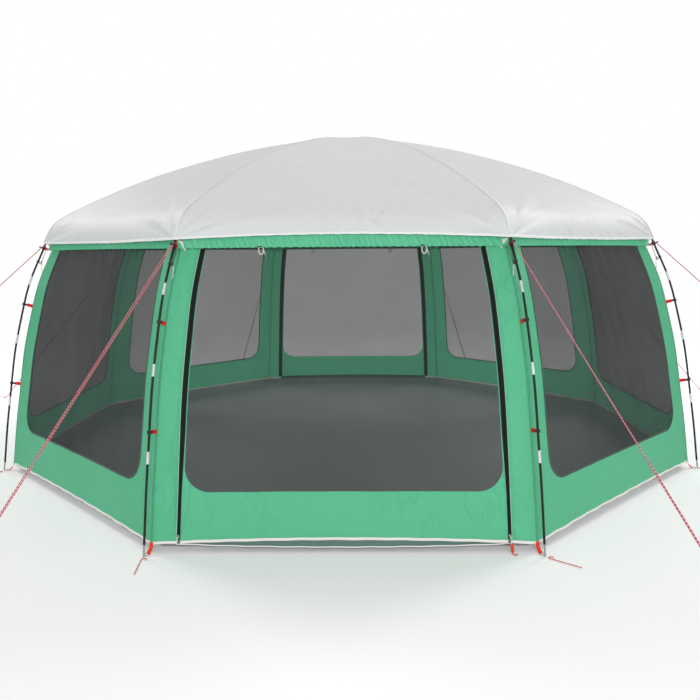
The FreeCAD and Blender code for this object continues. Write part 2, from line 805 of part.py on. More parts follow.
def build_roof_canopy():
    """Eight gores over the poles, cut level at the eave."""
    edge = num("roof_edge")
    shoulder_radius = 2120.0                         # outside it the profile bends sharply
    ridge = [(r, z) for r, z in SAMPLES if z > edge - 30 and r > 1.0]
    ridge.append((0.0, LEG[-1][1]))
    base = thinned([q for q in ridge if q[0] > shoulder_radius], 16.0)
    base += thinned([q for q in ridge if q[0] <= shoulder_radius], 75.0)

    def mid_panel(offset):
        return [(r * COS_HALF, z) for r, z in offset_profile(base, offset)]

    gore = slab(mid_panel(num("roof_offset") + num("roof_t")), mid_panel(num("roof_offset")))
    above_edge = Part.makeBox(6000, 6000, 3000, V3(-3000, -3000, edge))
    gore = solid_of(gore.common(wedge(0.0, 1.0, 0.3, 0.3)).common(above_edge))
    group("roof_canopy", [turned(gore, wall_angle(k)) for k in range(8)])


def build_roof_sleeves():
    """Flat fabric strips that run under the poles along the roof."""
    low_end, high_end = 2030.0, 3690.0               # arc lengths from the nearer foot
    half_width, half_depth = 22, 0.5
    below_axis = 10.2
    sleeves = []
    for k in range(POLES):
        for s0, s1 in ((low_end, high_end), (TOTALS[k] - high_end, TOTALS[k] - low_end)):
            edge = CURVES[k].toShape(arch_parameter(k, s0), arch_parameter(k, s1))
            start = edge.FirstParameter
            side = sideways(k)
            up = side.cross(edge.tangentAt(start))
            if up.z < 0:
                up = up * -1
            middle = edge.valueAt(start) - up * below_axis
            across, rise = side * half_width, up * half_depth
            section = closed_face([middle + across + rise, middle - across + rise,
                                   middle - across - rise, middle + across - rise])
            sleeves.append(Part.Wire([edge]).makePipe(section))
    group("roof_pole_sleeves", sleeves)


def build_valance():
    """Band below the roof's edge, flared outward at its foot."""
    x = num("valance_radius") * COS_HALF
    half_depth, flare = 0.8, 8.0
    low, high = num("valance_low"), num("valance_high")
    band = slab([(x + half_depth + flare, low), (x + half_depth, high)],
                [(x - half_depth + flare, low), (x - half_depth, high)])
    band = solid_of(band.common(wedge(0.0, 1.0, 0.4, 0.4)))
    group("roof_valance", [turned(band, wall_angle(k)) for k in range(8)])


# ---------------------------------------------------------------- walls
HALF_FABRIC = num("fabric_t") / 2
HALF_MESH = num("mesh_t") / 2
DOOR_SHARE = num("door_share")
HALF_ZIP = num("zip_gap") / 2
DOOR_TOP = num("door_top")
SEAM_GAP = 0.5
HEM_SEAM_GAP = 1.2


def full_wall():
    """Whole fabric panel, corner to corner."""
    return wall_shell(-HALF_FABRIC, HALF_FABRIC, num("wall_low"), num("wall_high"),
                      0.0, 1.0, SEAM_GAP, SEAM_GAP)


def hem(share0, share1, gap0, gap1):
    """Binding strip along the foot of a panel."""
    return solid_of(wall_shell(-2.0, 2.0, num("hem_low"), num("hem_high"),
                               share0, share1, gap0, gap1))


def build_walls():
    panel = solid_of(full_wall().cut(wall_window()))
    for k, name in WALLS.items():
        feature("wall_" + name, turned(panel, wall_angle(k)))

    mesh = wall_slab(-HALF_MESH, HALF_MESH, 100.0, 1620.0)
    mesh = solid_of(mesh.common(wall_window(grow=-1.0)))
    group("window_meshes", [turned(mesh, wall_angle(k)) for k in WALLS])

    binding = wall_slab(1.4, 2.4, 100.0, 1640.0)
    binding = solid_of(binding.common(wall_window(grow=6.0).cut(wall_window(grow=-6.0))))
    group("window_bindings", [turned(binding, wall_angle(k)) for k in WALLS])


def build_wall_hems():
    """White binding under the fixed walls and under the strips beside the doors."""
    zip_side = HALF_ZIP + 1.0
    whole = [hem(0.0, 1.0, HEM_SEAM_GAP, HEM_SEAM_GAP)]
    beside_door = [hem(0.0, DOOR_SHARE, HEM_SEAM_GAP, zip_side),
                   hem(1.0 - DOOR_SHARE, 1.0, zip_side, HEM_SEAM_GAP)]
    group("wall_hem_binding",
          [turned(strip, wall_angle(k)) for k in range(8)
           for strip in (whole if k in WALLS else beside_door)])


# ---------------------------------------------------------------- doors
DOORS = (("front", FRONT), ("back", BACK))


def build_doors():
    """Fixed surround, and the zip-out leaf of fabric, mesh and hem, at front and back."""
    opening = wall_shell(-20.0, 20.0, 0.0, DOOR_TOP,
                         DOOR_SHARE, 1.0 - DOOR_SHARE, -HALF_ZIP, -HALF_ZIP)
    surround = solid_of(full_wall().cut(opening))
    for name, angle in DOORS:
        feature(name + "_door_surround", turned(surround, angle))

    def leaf(half_depth, low):
        return wall_shell(-half_depth, half_depth, low, DOOR_TOP - 1.5,
                          DOOR_SHARE, 1.0 - DOOR_SHARE, HALF_ZIP, HALF_ZIP)

    panel = solid_of(leaf(HALF_FABRIC, num("wall_low")).cut(door_window()))
    mesh = solid_of(leaf(HALF_MESH, 200.0).common(door_window(grow=-1.0)))
    leaf_hem = hem(DOOR_SHARE, 1.0 - DOOR_SHARE, HALF_ZIP + 6.0, HALF_ZIP + 6.0)
    for name, angle in DOORS:
        feature(name + "_door_panel", turned(panel, angle))
        feature(name + "_door_mesh", turned(mesh, angle))
        feature(name + "_door_hem", turned(leaf_hem, angle))


def zip_tape(share, gap0, gap1):
    """Narrow upright band from gap0 to gap1 beside the plane at a share of the panel."""
    layer = wall_slab(1.2, 2.0, 62.0, DOOR_TOP - 6.0)
    cos, sin = math.cos(share_angle(share)), math.sin(share_angle(share))
    corners = ((PRISM, gap0), (2 * PRISM, gap0), (2 * PRISM, gap1), (PRISM, gap1))
    outline = [V3(x * cos - gap * sin, x * sin + gap * cos, 0) for x, gap in corners]
    return solid_of(layer.common(closed_face(outline).extrude(V3(0, 0, 2500))))


def build_zip_tapes():
    """Half of each tape on the surround, half on the leaf, either side of the zip's plane."""
    near, far = HALF_ZIP, HALF_ZIP + num("tape_w")
    fixed = [zip_tape(DOOR_SHARE, -far, -near), zip_tape(1 - DOOR_SHARE, near, far)]
    moving = [zip_tape(DOOR_SHARE, near, far), zip_tape(1 - DOOR_SHARE, -far, -near)]
    group("zip_tapes_fixed", [turned(tape, angle) for _, angle in DOORS for tape in fixed])
    for name, angle in DOORS:
        group(name + "_door_zip_tapes", [turned(tape, angle) for tape in moving])


def build_zip_sliders():
    """Slider and hanging pull in each zip's upright plane; left is -X on both doors."""
    z = num("slider_at")
    half, depth = bound("slider_len") / 2, bound("slider_depth") / 2
    lug = depth + 4.0
    slider = [(-depth, -half), (depth, -half), (depth, half * -0.2), (lug, half * -0.2),
              (lug, half * 0.1), (depth, half * 0.1), (depth, half), (-depth, half)]
    pull_in = depth + 5.0
    pull_out = pull_in + bound("pull_t")
    pull_end = -bound("pull_len") - 3.0
    pull = [(pull_in, -3.0), (pull_out, -3.0), (pull_out, pull_end), (pull_in, pull_end)]
    shares = {"front": (DOOR_SHARE, 1 - DOOR_SHARE), "back": (1 - DOOR_SHARE, DOOR_SHARE)}
    for door, angle in DOORS:
        for side, share in zip(("left", "right"), shares[door]):
            aside = math.degrees(share_angle(share))
            ratio = COS_HALF / math.cos(math.radians(aside))
            drift = (wall_radius(z - 10) - wall_radius(z + 10)) * ratio
            lean = math.degrees(math.atan2(drift, 20.0))
            at = (wall_radius(z) * ratio, 0, z)
            for part, outline in (("slider", slider), ("pull", pull)):
                body = new_body("%s_zip_%s_%s" % (door, part, side), angle + aside)
                sketch = new_sketch(body, "XZ_Plane", part + "_side", at, -lean)
                shape_pad(body, sketch, outline, bound(part + "_w"), part)
    doc.recompute()


def build_door_toggles():
    """Ring, bar and strap inside the top of each door, to tie it when rolled up."""
    x = wall_radius(1590.0) * COS_HALF
    toggles = []
    for _, angle in DOORS:
        for y in (-437.0, 437.0):
            ring = Part.makeTorus(15.0, 1.8, V3(x - 9.0, y, 1560.0), V3(1, 0, 0), 0, 360, 360)
            bar = Part.makeCylinder(3.6, 38.0, V3(x - 15.6, y - 19.0, 1545.0), V3(0, 1, 0))
            strap = Part.makeBox(1.6, 20.0, 18.4, V3(x - 5.2, y - 10.0, 1579.0))
            toggles += [turned(part, angle) for part in (ring, bar, strap)]
    group("door_toggles", toggles)


# ---------------------------------------------------------------- build
build_groundsheet()
build_poles()
build_foot_tips()
build_foot_rings()
build_base_straps()
build_pegs()
build_pole_clips()
build_wall_tabs()
build_eave_hooks()
build_reflective_patches()
build_corner_elastics()
build_guys()
build_roof_canopy()
build_roof_sleeves()
build_valance()
build_walls()
build_wall_hems()
build_doors()
build_zip_tapes()
build_zip_sliders()
build_door_toggles()

# ---------------------------------------------------------------- checks and files
doc.recompute()
failed = [o.Label for o in doc.Objects if "Invalid" in o.State or "Error" in o.State]
if failed:
    raise RuntimeError("failed objects: %s" % failed)
seen = set()
for node in NODES:
    if node.Shape.isNull() or not node.Shape.isValid():
        raise RuntimeError("bad shape: " + node.Label)
    if not node.Shape.Solids:
        raise RuntimeError("no solid: " + node.Label)
    if node.Label in seen:
        raise RuntimeError("label used twice: " + node.Label)
    seen.add(node.Label)
os.makedirs("parts", exist_ok=True)
for node in NODES:
    node.Shape.exportStep("parts/%s.step" % node.Label)
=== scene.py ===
# Eight-sided screen house: the cloth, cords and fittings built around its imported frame.
# Metres, +Z up, centred on the Z axis and standing on z = 0, front door facing -Y.
import json
import math

import bmesh
import bpy
import numpy as np
from mathutils import Matrix, Vector


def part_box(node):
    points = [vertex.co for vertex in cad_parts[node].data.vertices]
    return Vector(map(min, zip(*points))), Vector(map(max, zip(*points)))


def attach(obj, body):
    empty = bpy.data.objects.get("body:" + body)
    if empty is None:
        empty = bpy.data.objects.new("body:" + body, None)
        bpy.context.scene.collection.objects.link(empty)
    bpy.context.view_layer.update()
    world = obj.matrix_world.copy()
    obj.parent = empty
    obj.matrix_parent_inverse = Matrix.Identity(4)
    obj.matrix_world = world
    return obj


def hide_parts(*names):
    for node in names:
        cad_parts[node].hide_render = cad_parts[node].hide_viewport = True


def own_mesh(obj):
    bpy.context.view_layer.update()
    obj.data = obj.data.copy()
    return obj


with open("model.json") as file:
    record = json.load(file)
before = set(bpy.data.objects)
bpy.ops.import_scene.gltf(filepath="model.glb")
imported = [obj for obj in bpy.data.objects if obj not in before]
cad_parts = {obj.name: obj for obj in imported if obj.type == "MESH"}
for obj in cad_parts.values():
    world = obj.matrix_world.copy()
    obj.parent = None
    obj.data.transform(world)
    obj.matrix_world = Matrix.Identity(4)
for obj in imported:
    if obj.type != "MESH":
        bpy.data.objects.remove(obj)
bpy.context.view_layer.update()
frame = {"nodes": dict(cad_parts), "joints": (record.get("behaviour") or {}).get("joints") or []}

# ------------------------------------------------------------------ driving dimensions
HALF_SIDE = math.radians(22.5)              # half the angle one side of the octagon takes
COS_HALF, SIN_HALF, TAN_HALF = math.cos(HALF_SIDE), math.sin(HALF_SIDE), math.tan(HALF_SIDE)
UP = np.array([0, 0, 1.0])

WALL_INSET = 0.060                          # wall corner inside the leg's centreline
HEM_Z, WALL_TOP_Z = 0.050, 1.640
CLOTH_FOOT_Z = HEM_Z + 0.004
WINDOW_LOW_Z, WINDOW_TOP_Z = 0.325, 1.600
WINDOW_RADIUS = 0.140                       # rounding of a window's lower corners
WINDOW_STRIP = 0.085                        # cloth beside a window, share of the panel's width
MESH_LAP = 0.004                            # mesh reaching below the window's edge
DOOR, DOOR_TOP_Z = 0.07, 1.598              # zip line as a share of the panel, top of the door
ZIP_HALF = 0.004                            # half the gap between the zip's two edges
HOOK_Z = 1.592                              # eave hooks on the legs
CLOTH_THICK = 0.0012

# Panels and corners are numbered counter-clockwise from above; panel 0 lies between
# corners 0 and 1. A share runs 0 to 1 across a panel in the same direction.
DOORS = {0: "front", 4: "back"}
WALLS = {1: "right_front", 2: "right", 3: "right_back",
         5: "left_back", 6: "left", 7: "left_front"}


def corner_angle(corner):
    return math.radians(-112.5 + 45 * corner)


def mid_angle(panel):
    return math.radians(-90 + 45 * panel)


# ------------------------------------------------------------------ points and lines
def points(x, y, z):
    return np.stack(np.broadcast_arrays(x, y, z), -1)


def turned(angle, out, across, z):
    """Points out from the Z axis in direction angle, and across counter-clockwise."""
    cosine, sine = np.cos(angle), np.sin(angle)
    return points(out * cosine - across * sine, out * sine + across * cosine, z)


def outward(angle):
    return turned(angle, 1.0, 0.0, 0.0)


def sideways(angle):
    return turned(angle, 0.0, 1.0, 0.0)


def unit(vectors):
    return vectors / np.linalg.norm(vectors, axis=-1, keepdims=True)


def directions(line):
    return unit(np.gradient(line, axis=0))


def distances(line):
    """Distance run along a line at each of its points."""
    return np.concatenate([[0], np.cumsum(np.linalg.norm(np.diff(line, axis=0), axis=1))])


def circle(count):
    return np.linspace(0, 2 * math.pi, count, endpoint=False)


def signed_power(value, power):
    return np.copysign(np.abs(value) ** power, value)


def upward_normals(line, side):
    """Normals of a line, square to side and pointing up."""
    normal = unit(np.cross(side, np.gradient(line, axis=0)))
    return normal * np.sign(normal[:, 2:3] + 1e-9)


def smooth_path(knots, count):
    """Catmull-Rom line through a few points, in about count steps."""
    knots = np.array(knots, float)
    knots = np.vstack([2 * knots[0] - knots[1], knots, 2 * knots[-1] - knots[-2]])
    spans = len(knots) - 3
    line = []
    for i in range(spans):
        a, b, c, d = knots[i:i + 4]
        for s in np.linspace(0, 1, max(2, count // spans), endpoint=False):
            square = 2 * a - 5 * b + 4 * c - d
            cube = -a + 3 * b - 3 * c + d
            line.append(0.5 * (2 * b + (-a + c) * s + square * s * s + cube * s ** 3))
    line.append(knots[-2])
    return np.array(line)


def natural_spline(knots, steps=24):
    """Natural cubic spline through knots, with steps points from each to the next."""
    knots = np.array(knots, float)
    gaps = np.diff(distances(knots))
    slopes = np.diff(knots, axis=0) / gaps[:, None]
    system = np.eye(len(knots))
    for i in range(1, len(knots) - 1):
        system[i, i - 1:i + 2] = gaps[i - 1], 2 * (gaps[i - 1] + gaps[i]), gaps[i]
    target = np.zeros_like(knots)
    target[1:-1] = 6 * np.diff(slopes, axis=0)
    bend = np.linalg.solve(system, target)
    line = []
    for i, gap in enumerate(gaps):
        s = np.linspace(0, gap, steps, endpoint=False)[:, None]
        slope = slopes[i] - gap * (2 * bend[i] + bend[i + 1]) / 6
        cube = (bend[i + 1] - bend[i]) / (6 * gap)
        line.append(knots[i] + s * slope + s * s * bend[i] / 2 + s ** 3 * cube)
    return np.concatenate(line + [knots[-1:]])


class Place:
    """An origin with three axes, for setting out small parts."""

    def __init__(self, origin, out, side, up):
        self.origin, self.out, self.side, self.up = origin, out, side, up

    def path(self, local):
        return self.origin + np.array(local) @ np.stack([self.out, self.side, self.up])


def leaning_place(origin, angle, lean):
    """Place facing out in direction angle, its up axis leaning towards the Z axis."""
    out = outward(angle)
    return Place(origin, out * math.cos(lean) + UP * math.sin(lean), sideways(angle),
                 UP * math.cos(lean) - out * math.sin(lean))


# ------------------------------------------------------------------ leg and ridge line
# radius, height in millimetres, from below the ground to the peak, as in the frame
LEG_KNOTS = [
    (2704, -50), (2696, 0), (2655, 311), (2607, 621), (2566, 870),
    (2502, 1139), (2442, 1346), (2380, 1491), (2328, 1605), (2290, 1692),
    (2244, 1757), (2175, 1806), (2005, 1895), (1771, 2003), (1506, 2110),
    (1189, 2216), (913, 2296), (601, 2368), (300, 2421), (0, 2440),
]


def leg_line():
    """Radius and height along one leg, in metres; the spline spans the whole arch."""
    arch = natural_spline(LEG_KNOTS + [(-r, z) for r, z in LEG_KNOTS[-2::-1]]) / 1000.0
    half = arch[:np.argmin(np.abs(arch[:, 0])) + 1]
    return half[half[:, 1] > -0.03]


LEG = leg_line()
LEG_RUN = distances(LEG)


def leg_r(z):
    return np.interp(z, LEG[:, 1], LEG[:, 0])


# ------------------------------------------------------------------ wall surface
def wall_r(z):
    """Radius of the wall's corners at height z."""
    return leg_r(z) - WALL_INSET


def panel_width(z):
    return 2 * wall_r(z) * SIN_HALF


WINDOW_WIDTH = float(panel_width(0.4))      # panel width that window corners are set out on
ZIP_SHARE = ZIP_HALF / float(panel_width(0.8))
LEAF_EDGE = DOOR + ZIP_SHARE                # cut edge of the door leaf
SURROUND_EDGE = DOOR - ZIP_SHARE            # cut edge of the cloth beside it


def wall_bow(z):
    """How far the cloth between two corners pulls in from the bowed corner seams."""
    foot, head = wall_r(HEM_Z), wall_r(WINDOW_TOP_Z)
    chord = foot + (head - foot) * (z - HEM_Z) / (WINDOW_TOP_Z - HEM_Z)
    return np.clip(wall_r(z) - chord, 0, 1) * 0.30


def ripple(panel, share, z):
    """Small outward folds in hung cloth; the panel number makes each side differ."""
    phase = panel * 1.7
    y = (share - 0.5) * 1.9
    # broad waves, then finer slanting ones
    fold = 0.0016 * np.sin(9.0 * y + 2.2 * z + phase) * np.sin(3.1 * z + 1.3 * phase)
    fold = fold + 0.0011 * np.sin(21.0 * y - 6.0 * z + 2 * phase) * np.sin(4.7 * z + phase)
    # narrow folds fading down from the top, wide ones fading up from the hem
    top = np.exp(-np.clip(WINDOW_TOP_Z - z, 0, 2) / 0.09)
    turns = y / 0.085 + 0.55 * np.sin(3.7 * y + phase) + 1.6 * z * np.sign(share - 0.5)
    fold = fold + 0.0013 * top * np.sin(2 * np.pi * turns)
    low = np.exp(-np.clip(z - HEM_Z, 0, 2) / 0.10)
    fold = fold + 0.0022 * low * np.sin(2 * np.pi * (y / 0.17) + phase)
    return fold * np.clip(np.minimum(share, 1 - share) / 0.02, 0, 1)


def hem_arch(panel, share):
    """Rise of the hem between its corners, higher at the doors."""
    return np.where(np.isin(panel, list(DOORS)), 0.022, 0.014) * 4 * share * (1 - share)


def wall_point(panel, share, z, off=0.0, arched=True):
    """Point of a wall panel, off metres outside the cloth; arched follows the hem's rise."""
    if arched:
        z = z + hem_arch(panel, share) * np.clip(1 - (z - HEM_Z) / 0.30, 0, 1)
    plane = wall_r(z) * COS_HALF
    across = 2 * share - 1
    out = plane - wall_bow(z) * (1 - across ** 2) + ripple(panel, share, z) + off
    return turned(mid_angle(panel), out, across * TAN_HALF * plane, z)


def panel_across(place, panel):
    """Metres across a panel from its middle."""
    angle = mid_angle(panel)
    return -place[..., 0] * math.sin(angle) + place[..., 1] * math.cos(angle)


def panel_uv(place, panel):
    return np.stack([panel_across(place, panel), place[..., 2]], -1)


# ------------------------------------------------------------------ shader nodes
def srgb(*channels):
    """Linear colour from red, green and blue in 0 to 255."""
    def linear(value):
        value /= 255.0
        return value / 12.92 if value <= 0.04045 else ((value + 0.055) / 1.055) ** 2.4
    return tuple(linear(value) for value in channels) + (1.0,)


def scaled(colour, gain):
    return tuple(value * gain for value in colour[:3]) + (1,)


class Nodes:
    """Node tree of a material or world, with short ways to add and link nodes."""

    def __init__(self, owner, output="OutputMaterial"):
        owner.use_nodes = True
        self.owner = owner
        self.tree = owner.node_tree
        self.tree.nodes.clear()
        self.output = self.node(output)

    def node(self, kind, inputs=None, **settings):
        """New node; inputs maps sockets to values or to the outputs that feed them."""
        node = self.tree.nodes.new("ShaderNode" + kind)
        for key, value in settings.items():
            setattr(node, key, value)
        for socket, value in (inputs or {}).items():
            if isinstance(value, bpy.types.NodeSocket):
                self.tree.links.new(value, node.inputs[socket])
            else:
                node.inputs[socket].default_value = value
        return node

    def add(self, kind, inputs=None, output=0, **settings):
        return self.node(kind, inputs, **settings).outputs[output]

    def finish(self, shader):
        self.tree.links.new(shader, self.output.inputs[0])
        return self.owner

    def math(self, operation, a, b=None, clamp=False):
        inputs = {0: a} if b is None else {0: a, 1: b}
        return self.add("Math", inputs, operation=operation, use_clamp=clamp)

    def swing(self, value, amount):
        """A 0 to 1 value turned into one that swings about 0."""
        return self.math("MULTIPLY", self.math("SUBTRACT", value, 0.5), amount)

    def peak(self, value, centre, width):
        """1 where value is at the centre, falling to 0 at width away."""
        away = self.math("ABSOLUTE", self.math("SUBTRACT", value, centre))
        return self.math("SUBTRACT", 1.0, self.math("DIVIDE", away, width), True)

    def mix(self, factor, a, b):
        return self.add("Mix", {0: factor, 6: a, 7: b}, 2, data_type="RGBA", blend_type="MIX")

    def mix_shader(self, factor, a, b):
        return self.add("MixShader", {0: factor, 1: a, 2: b})

    def cloth_uv(self):
        return self.add("UVMap", uv_map="cloth")

    def object_coords(self):
        return self.add("TexCoord", output="Object")

    def split(self, vector):
        return self.node("SeparateXYZ", {0: vector}).outputs

    def noise(self, vector, scale, detail=3.0, rough=0.5):
        return self.add("TexNoise", {"Vector": vector, "Scale": scale, "Detail": detail,
                                     "Roughness": rough})

    def weave(self, vector, pitch):
        """Plain weave height from the sheet's own metres: two crossing sets of threads."""
        axes = self.split(vector)
        x, y = [self.math("SINE", self.math("MULTIPLY", axes[i], math.pi * 2 / pitch))
                for i in (0, 1)]
        return self.math("MULTIPLY", x, y)

    def bump(self, height, strength, distance, normal=None):
        inputs = {"Height": height, "Strength": strength, "Distance": distance}
        if normal is not None:
            inputs["Normal"] = normal
        return self.add("Bump", inputs)


# ------------------------------------------------------------------ kinds of material
def zip_puckers(tree, obj, pucker):
    """Short level puckers beside the zips, found by |x| / |y| at the door's edges; they give relief
    and painted light and shade.
    """
    axes = tree.split(obj)
    depth = tree.math("MAXIMUM", tree.math("ABSOLUTE", axes[1]), 0.05)
    slant = tree.math("DIVIDE", tree.math("ABSOLUTE", axes[0]), depth)
    near = tree.peak(slant, centre=0.356, width=0.046)
    flat = tree.add("Mapping", {"Vector": obj, "Scale": (8.0, 8.0, 42.0)})
    fold = tree.noise(flat, scale=1.0, detail=2.0)
    return tree.swing(fold, tree.math("MULTIPLY", near, pucker))


def ripstop_lines(tree, uv):
    """Grid of thicker threads, 6 mm apart."""
    axes = tree.split(uv)
    across, along = [
        tree.math("GREATER_THAN", tree.math("FRACT", tree.math("DIVIDE", axes[i], 0.006)), 0.86)
        for i in (0, 1)]
    return tree.math("MAXIMUM", across, along)


def ground_dirt(tree, obj, dirt):
    """Patchy dirt that fades out above the ground."""
    fade = tree.add("MapRange", {"Value": tree.split(obj)[2], "From Min": 0.03,
                                 "From Max": 0.22, "To Min": dirt, "To Max": 0.0})
    return tree.math("MULTIPLY", fade, tree.noise(obj, scale=9.0, detail=5.0, rough=0.7))


def cloth(name, colour, rough=0.62, pitch=0.0022, bump=0.15, vary=0.05, translucent=0.0,
          through=None, sheen=0.25, ripstop=0.0, dirt=0.0, crease=0.35, pucker=0.0):
    """Woven cloth; pitch is the thread spacing and through the colour of light let through."""
    tree = Nodes(bpy.data.materials.new(name))
    uv = tree.cloth_uv()
    obj = tree.object_coords()

    # brightness: broad and fine variation, painted shade along thin upright creases in patches,
    # painted light and shade on the zip puckers
    broad = tree.noise(obj, scale=1.7, detail=4.0, rough=0.55)
    fine = tree.noise(obj, scale=60.0, rough=0.6)
    shade = tree.math("ADD", tree.swing(broad, vary * 2.2), tree.swing(fine, vary))
    gain = tree.math("ADD", 1.0, shade)
    tall = tree.add("VectorMath", {0: obj, 1: (17.0, 17.0, 5.0)}, "Vector",
                    operation="MULTIPLY")
    crease_shade_mask = tree.peak(tree.noise(tall, scale=0.5, detail=2.5, rough=0.55),
                      centre=0.5, width=0.030)
    patch = tree.math("SUBTRACT", tree.noise(obj, scale=2.4, detail=2.0), 0.42)
    crease_shade_mask = tree.math("MULTIPLY", crease_shade_mask, tree.math("MULTIPLY", patch, 4.0, True))
    # painted shade: the crease lines darken the cloth's colour
    gain = tree.math("SUBTRACT", gain, tree.math("MULTIPLY", crease_shade_mask, 0.22 * min(crease, 0.7)))
    if pucker > 0:
        gathers = zip_puckers(tree, obj, pucker)
        # painted light and shade: the puckers lighten and darken the colour beside the zips
        gain = tree.math("ADD", gain, tree.math("MULTIPLY", gathers, 0.42))

    # colour: threads, ripstop grid, dirt
    tint = tree.add("HueSaturation", {"Color": colour, "Value": gain})
    thread = tree.weave(uv, pitch)
    raised = tree.math("ADD", tree.math("MULTIPLY", thread, 0.5), 0.5)
    tint = tree.mix(tree.math("MULTIPLY", raised, 0.10), tint, scaled(colour, 0.55))
    if ripstop > 0:
        lines = tree.math("MULTIPLY", ripstop_lines(tree, uv), ripstop)
        tint = tree.mix(lines, tint, scaled(colour, 0.7))
    if dirt > 0:
        tint = tree.mix(ground_dirt(tree, obj, dirt), tint, srgb(120, 108, 90))

    # relief: threads, soft folds, fine upright crinkles
    crinkle = tree.math("SUBTRACT", tree.noise(tall, scale=1.0),
                        tree.math("MULTIPLY", crease_shade_mask, 0.5))
    if pucker > 0:
        crinkle = tree.math("ADD", crinkle, tree.math("MULTIPLY", gathers, 1.6))
    normal = tree.bump(thread, strength=bump, distance=0.0006)
    fold = tree.noise(obj, scale=5.5, detail=4.0, rough=0.55)
    normal = tree.bump(fold, strength=crease, distance=0.010, normal=normal)
    normal = tree.bump(crinkle, strength=min(1.0, crease * 1.1), distance=0.0045,
                       normal=normal)

    shader = tree.add("BsdfPrincipled", {
        "Base Color": tint,
        "Roughness": tree.math("ADD", rough, tree.swing(broad, 0.14), True),
        "Sheen Weight": sheen,
        "Sheen Roughness": 0.45,
        "Specular IOR Level": 0.35,
        "Normal": normal,
    })
    if translucent > 0:
        glow = tree.add("BsdfTranslucent", {"Color": through, "Normal": normal})
        shader = tree.mix_shader(translucent, shader, glow)
    return tree.finish(shader)


def tape(name, colour, **look):
    """Narrow woven tape: cloth with hardly any crease."""
    return cloth(name, colour, crease=0.05, **look)


def net(name, colour, clear, lit_clear=0.72):
    """Fine insect mesh that lets less through edge on; clear is the share the camera
    sees through, lit_clear the share of other light."""
    tree = Nodes(bpy.data.materials.new(name))
    uv = tree.cloth_uv()
    obj = tree.object_coords()
    face = tree.node("NewGeometry").outputs
    facing = tree.add("VectorMath", {0: face["Incoming"], 1: face["True Normal"]}, "Value",
                      operation="DOT_PRODUCT")
    facing = tree.math("MAXIMUM", tree.math("ABSOLUTE", facing), 0.12)
    depth = tree.math("ADD", 0.40, tree.math("DIVIDE", 0.60, facing))
    camera_ray = tree.add("LightPath", output="Is Camera Ray")
    share = tree.math("ADD", lit_clear, tree.math("MULTIPLY", camera_ray, clear - lit_clear))
    thread = tree.weave(uv, pitch=0.0016)
    open_share = tree.math("ADD", tree.math("POWER", share, depth),
                           tree.math("MULTIPLY", thread, 0.012), True)
    uneven = tree.swing(tree.noise(obj, scale=2.3), 0.06)
    open_share = tree.math("ADD", open_share, uneven, True)
    fleck = tree.noise(obj, scale=40.0, detail=2.0)
    threads = tree.add("BsdfPrincipled", {
        "Base Color": tree.mix(fleck, colour, scaled(colour, 1.5)),
        "Roughness": 0.85,
        "Specular IOR Level": 0.10,
        "Sheen Weight": 0.02,
        "Normal": tree.bump(thread, strength=0.25, distance=0.0005),
    })
    return tree.finish(tree.mix_shader(open_share, threads, tree.add("BsdfTransparent")))


def hard(name, colour, rough, grain, bump, scale, metallic=0.0, wear=None, coat=0.0):
    """Metal, plastic or paint; scale sets the grain's fineness, wear colours the edges."""
    tree = Nodes(bpy.data.materials.new(name))
    obj = tree.object_coords()
    fine = tree.noise(obj, scale=scale, detail=4.0, rough=0.6)
    broad = tree.noise(obj, scale=scale / 12.0)
    tint = tree.mix(tree.math("MULTIPLY", fine, grain * 2), colour, scaled(colour, 0.6))
    if wear:
        edge = tree.add("MapRange", {"Value": tree.add("NewGeometry", output="Pointiness"),
                                     "From Min": 0.52, "From Max": 0.62})
        tint = tree.mix(tree.math("MULTIPLY", edge, broad, True), tint, wear)
    return tree.finish(tree.add("BsdfPrincipled", {
        "Base Color": tint,
        "Metallic": metallic,
        "Specular IOR Level": 0.35,
        "Coat Weight": coat,
        "Roughness": tree.math("ADD", rough, tree.swing(broad, 0.25), True),
        "Normal": tree.bump(fine, strength=bump, distance=0.0004),
    }))


def braid(name, colour, fleck, pitch=0.006, share=0.35):
    """Braided cord with tracer flecks; UV x runs round it and y along it, in metres."""
    tree = Nodes(bpy.data.materials.new(name))
    uv = tree.cloth_uv()
    axes = tree.split(uv)
    strand = tree.math("ADD", tree.math("DIVIDE", axes[1], pitch),
                       tree.math("MULTIPLY", axes[0], 90.0))
    tracer = tree.math("LESS_THAN", tree.math("FRACT", strand), share)
    shade = tree.math("MULTIPLY", tree.noise(uv, scale=300.0), 0.35)
    tint = tree.mix(shade, tree.mix(tracer, colour, fleck), scaled(colour, 0.5))
    relief = tree.math("SINE", tree.math("MULTIPLY", strand, 12.566))
    return tree.finish(tree.add("BsdfPrincipled", {
        "Base Color": tint,
        "Roughness": 0.7,
        "Sheen Weight": 0.3,
        "Normal": tree.bump(relief, strength=0.6, distance=0.0006),
    }))


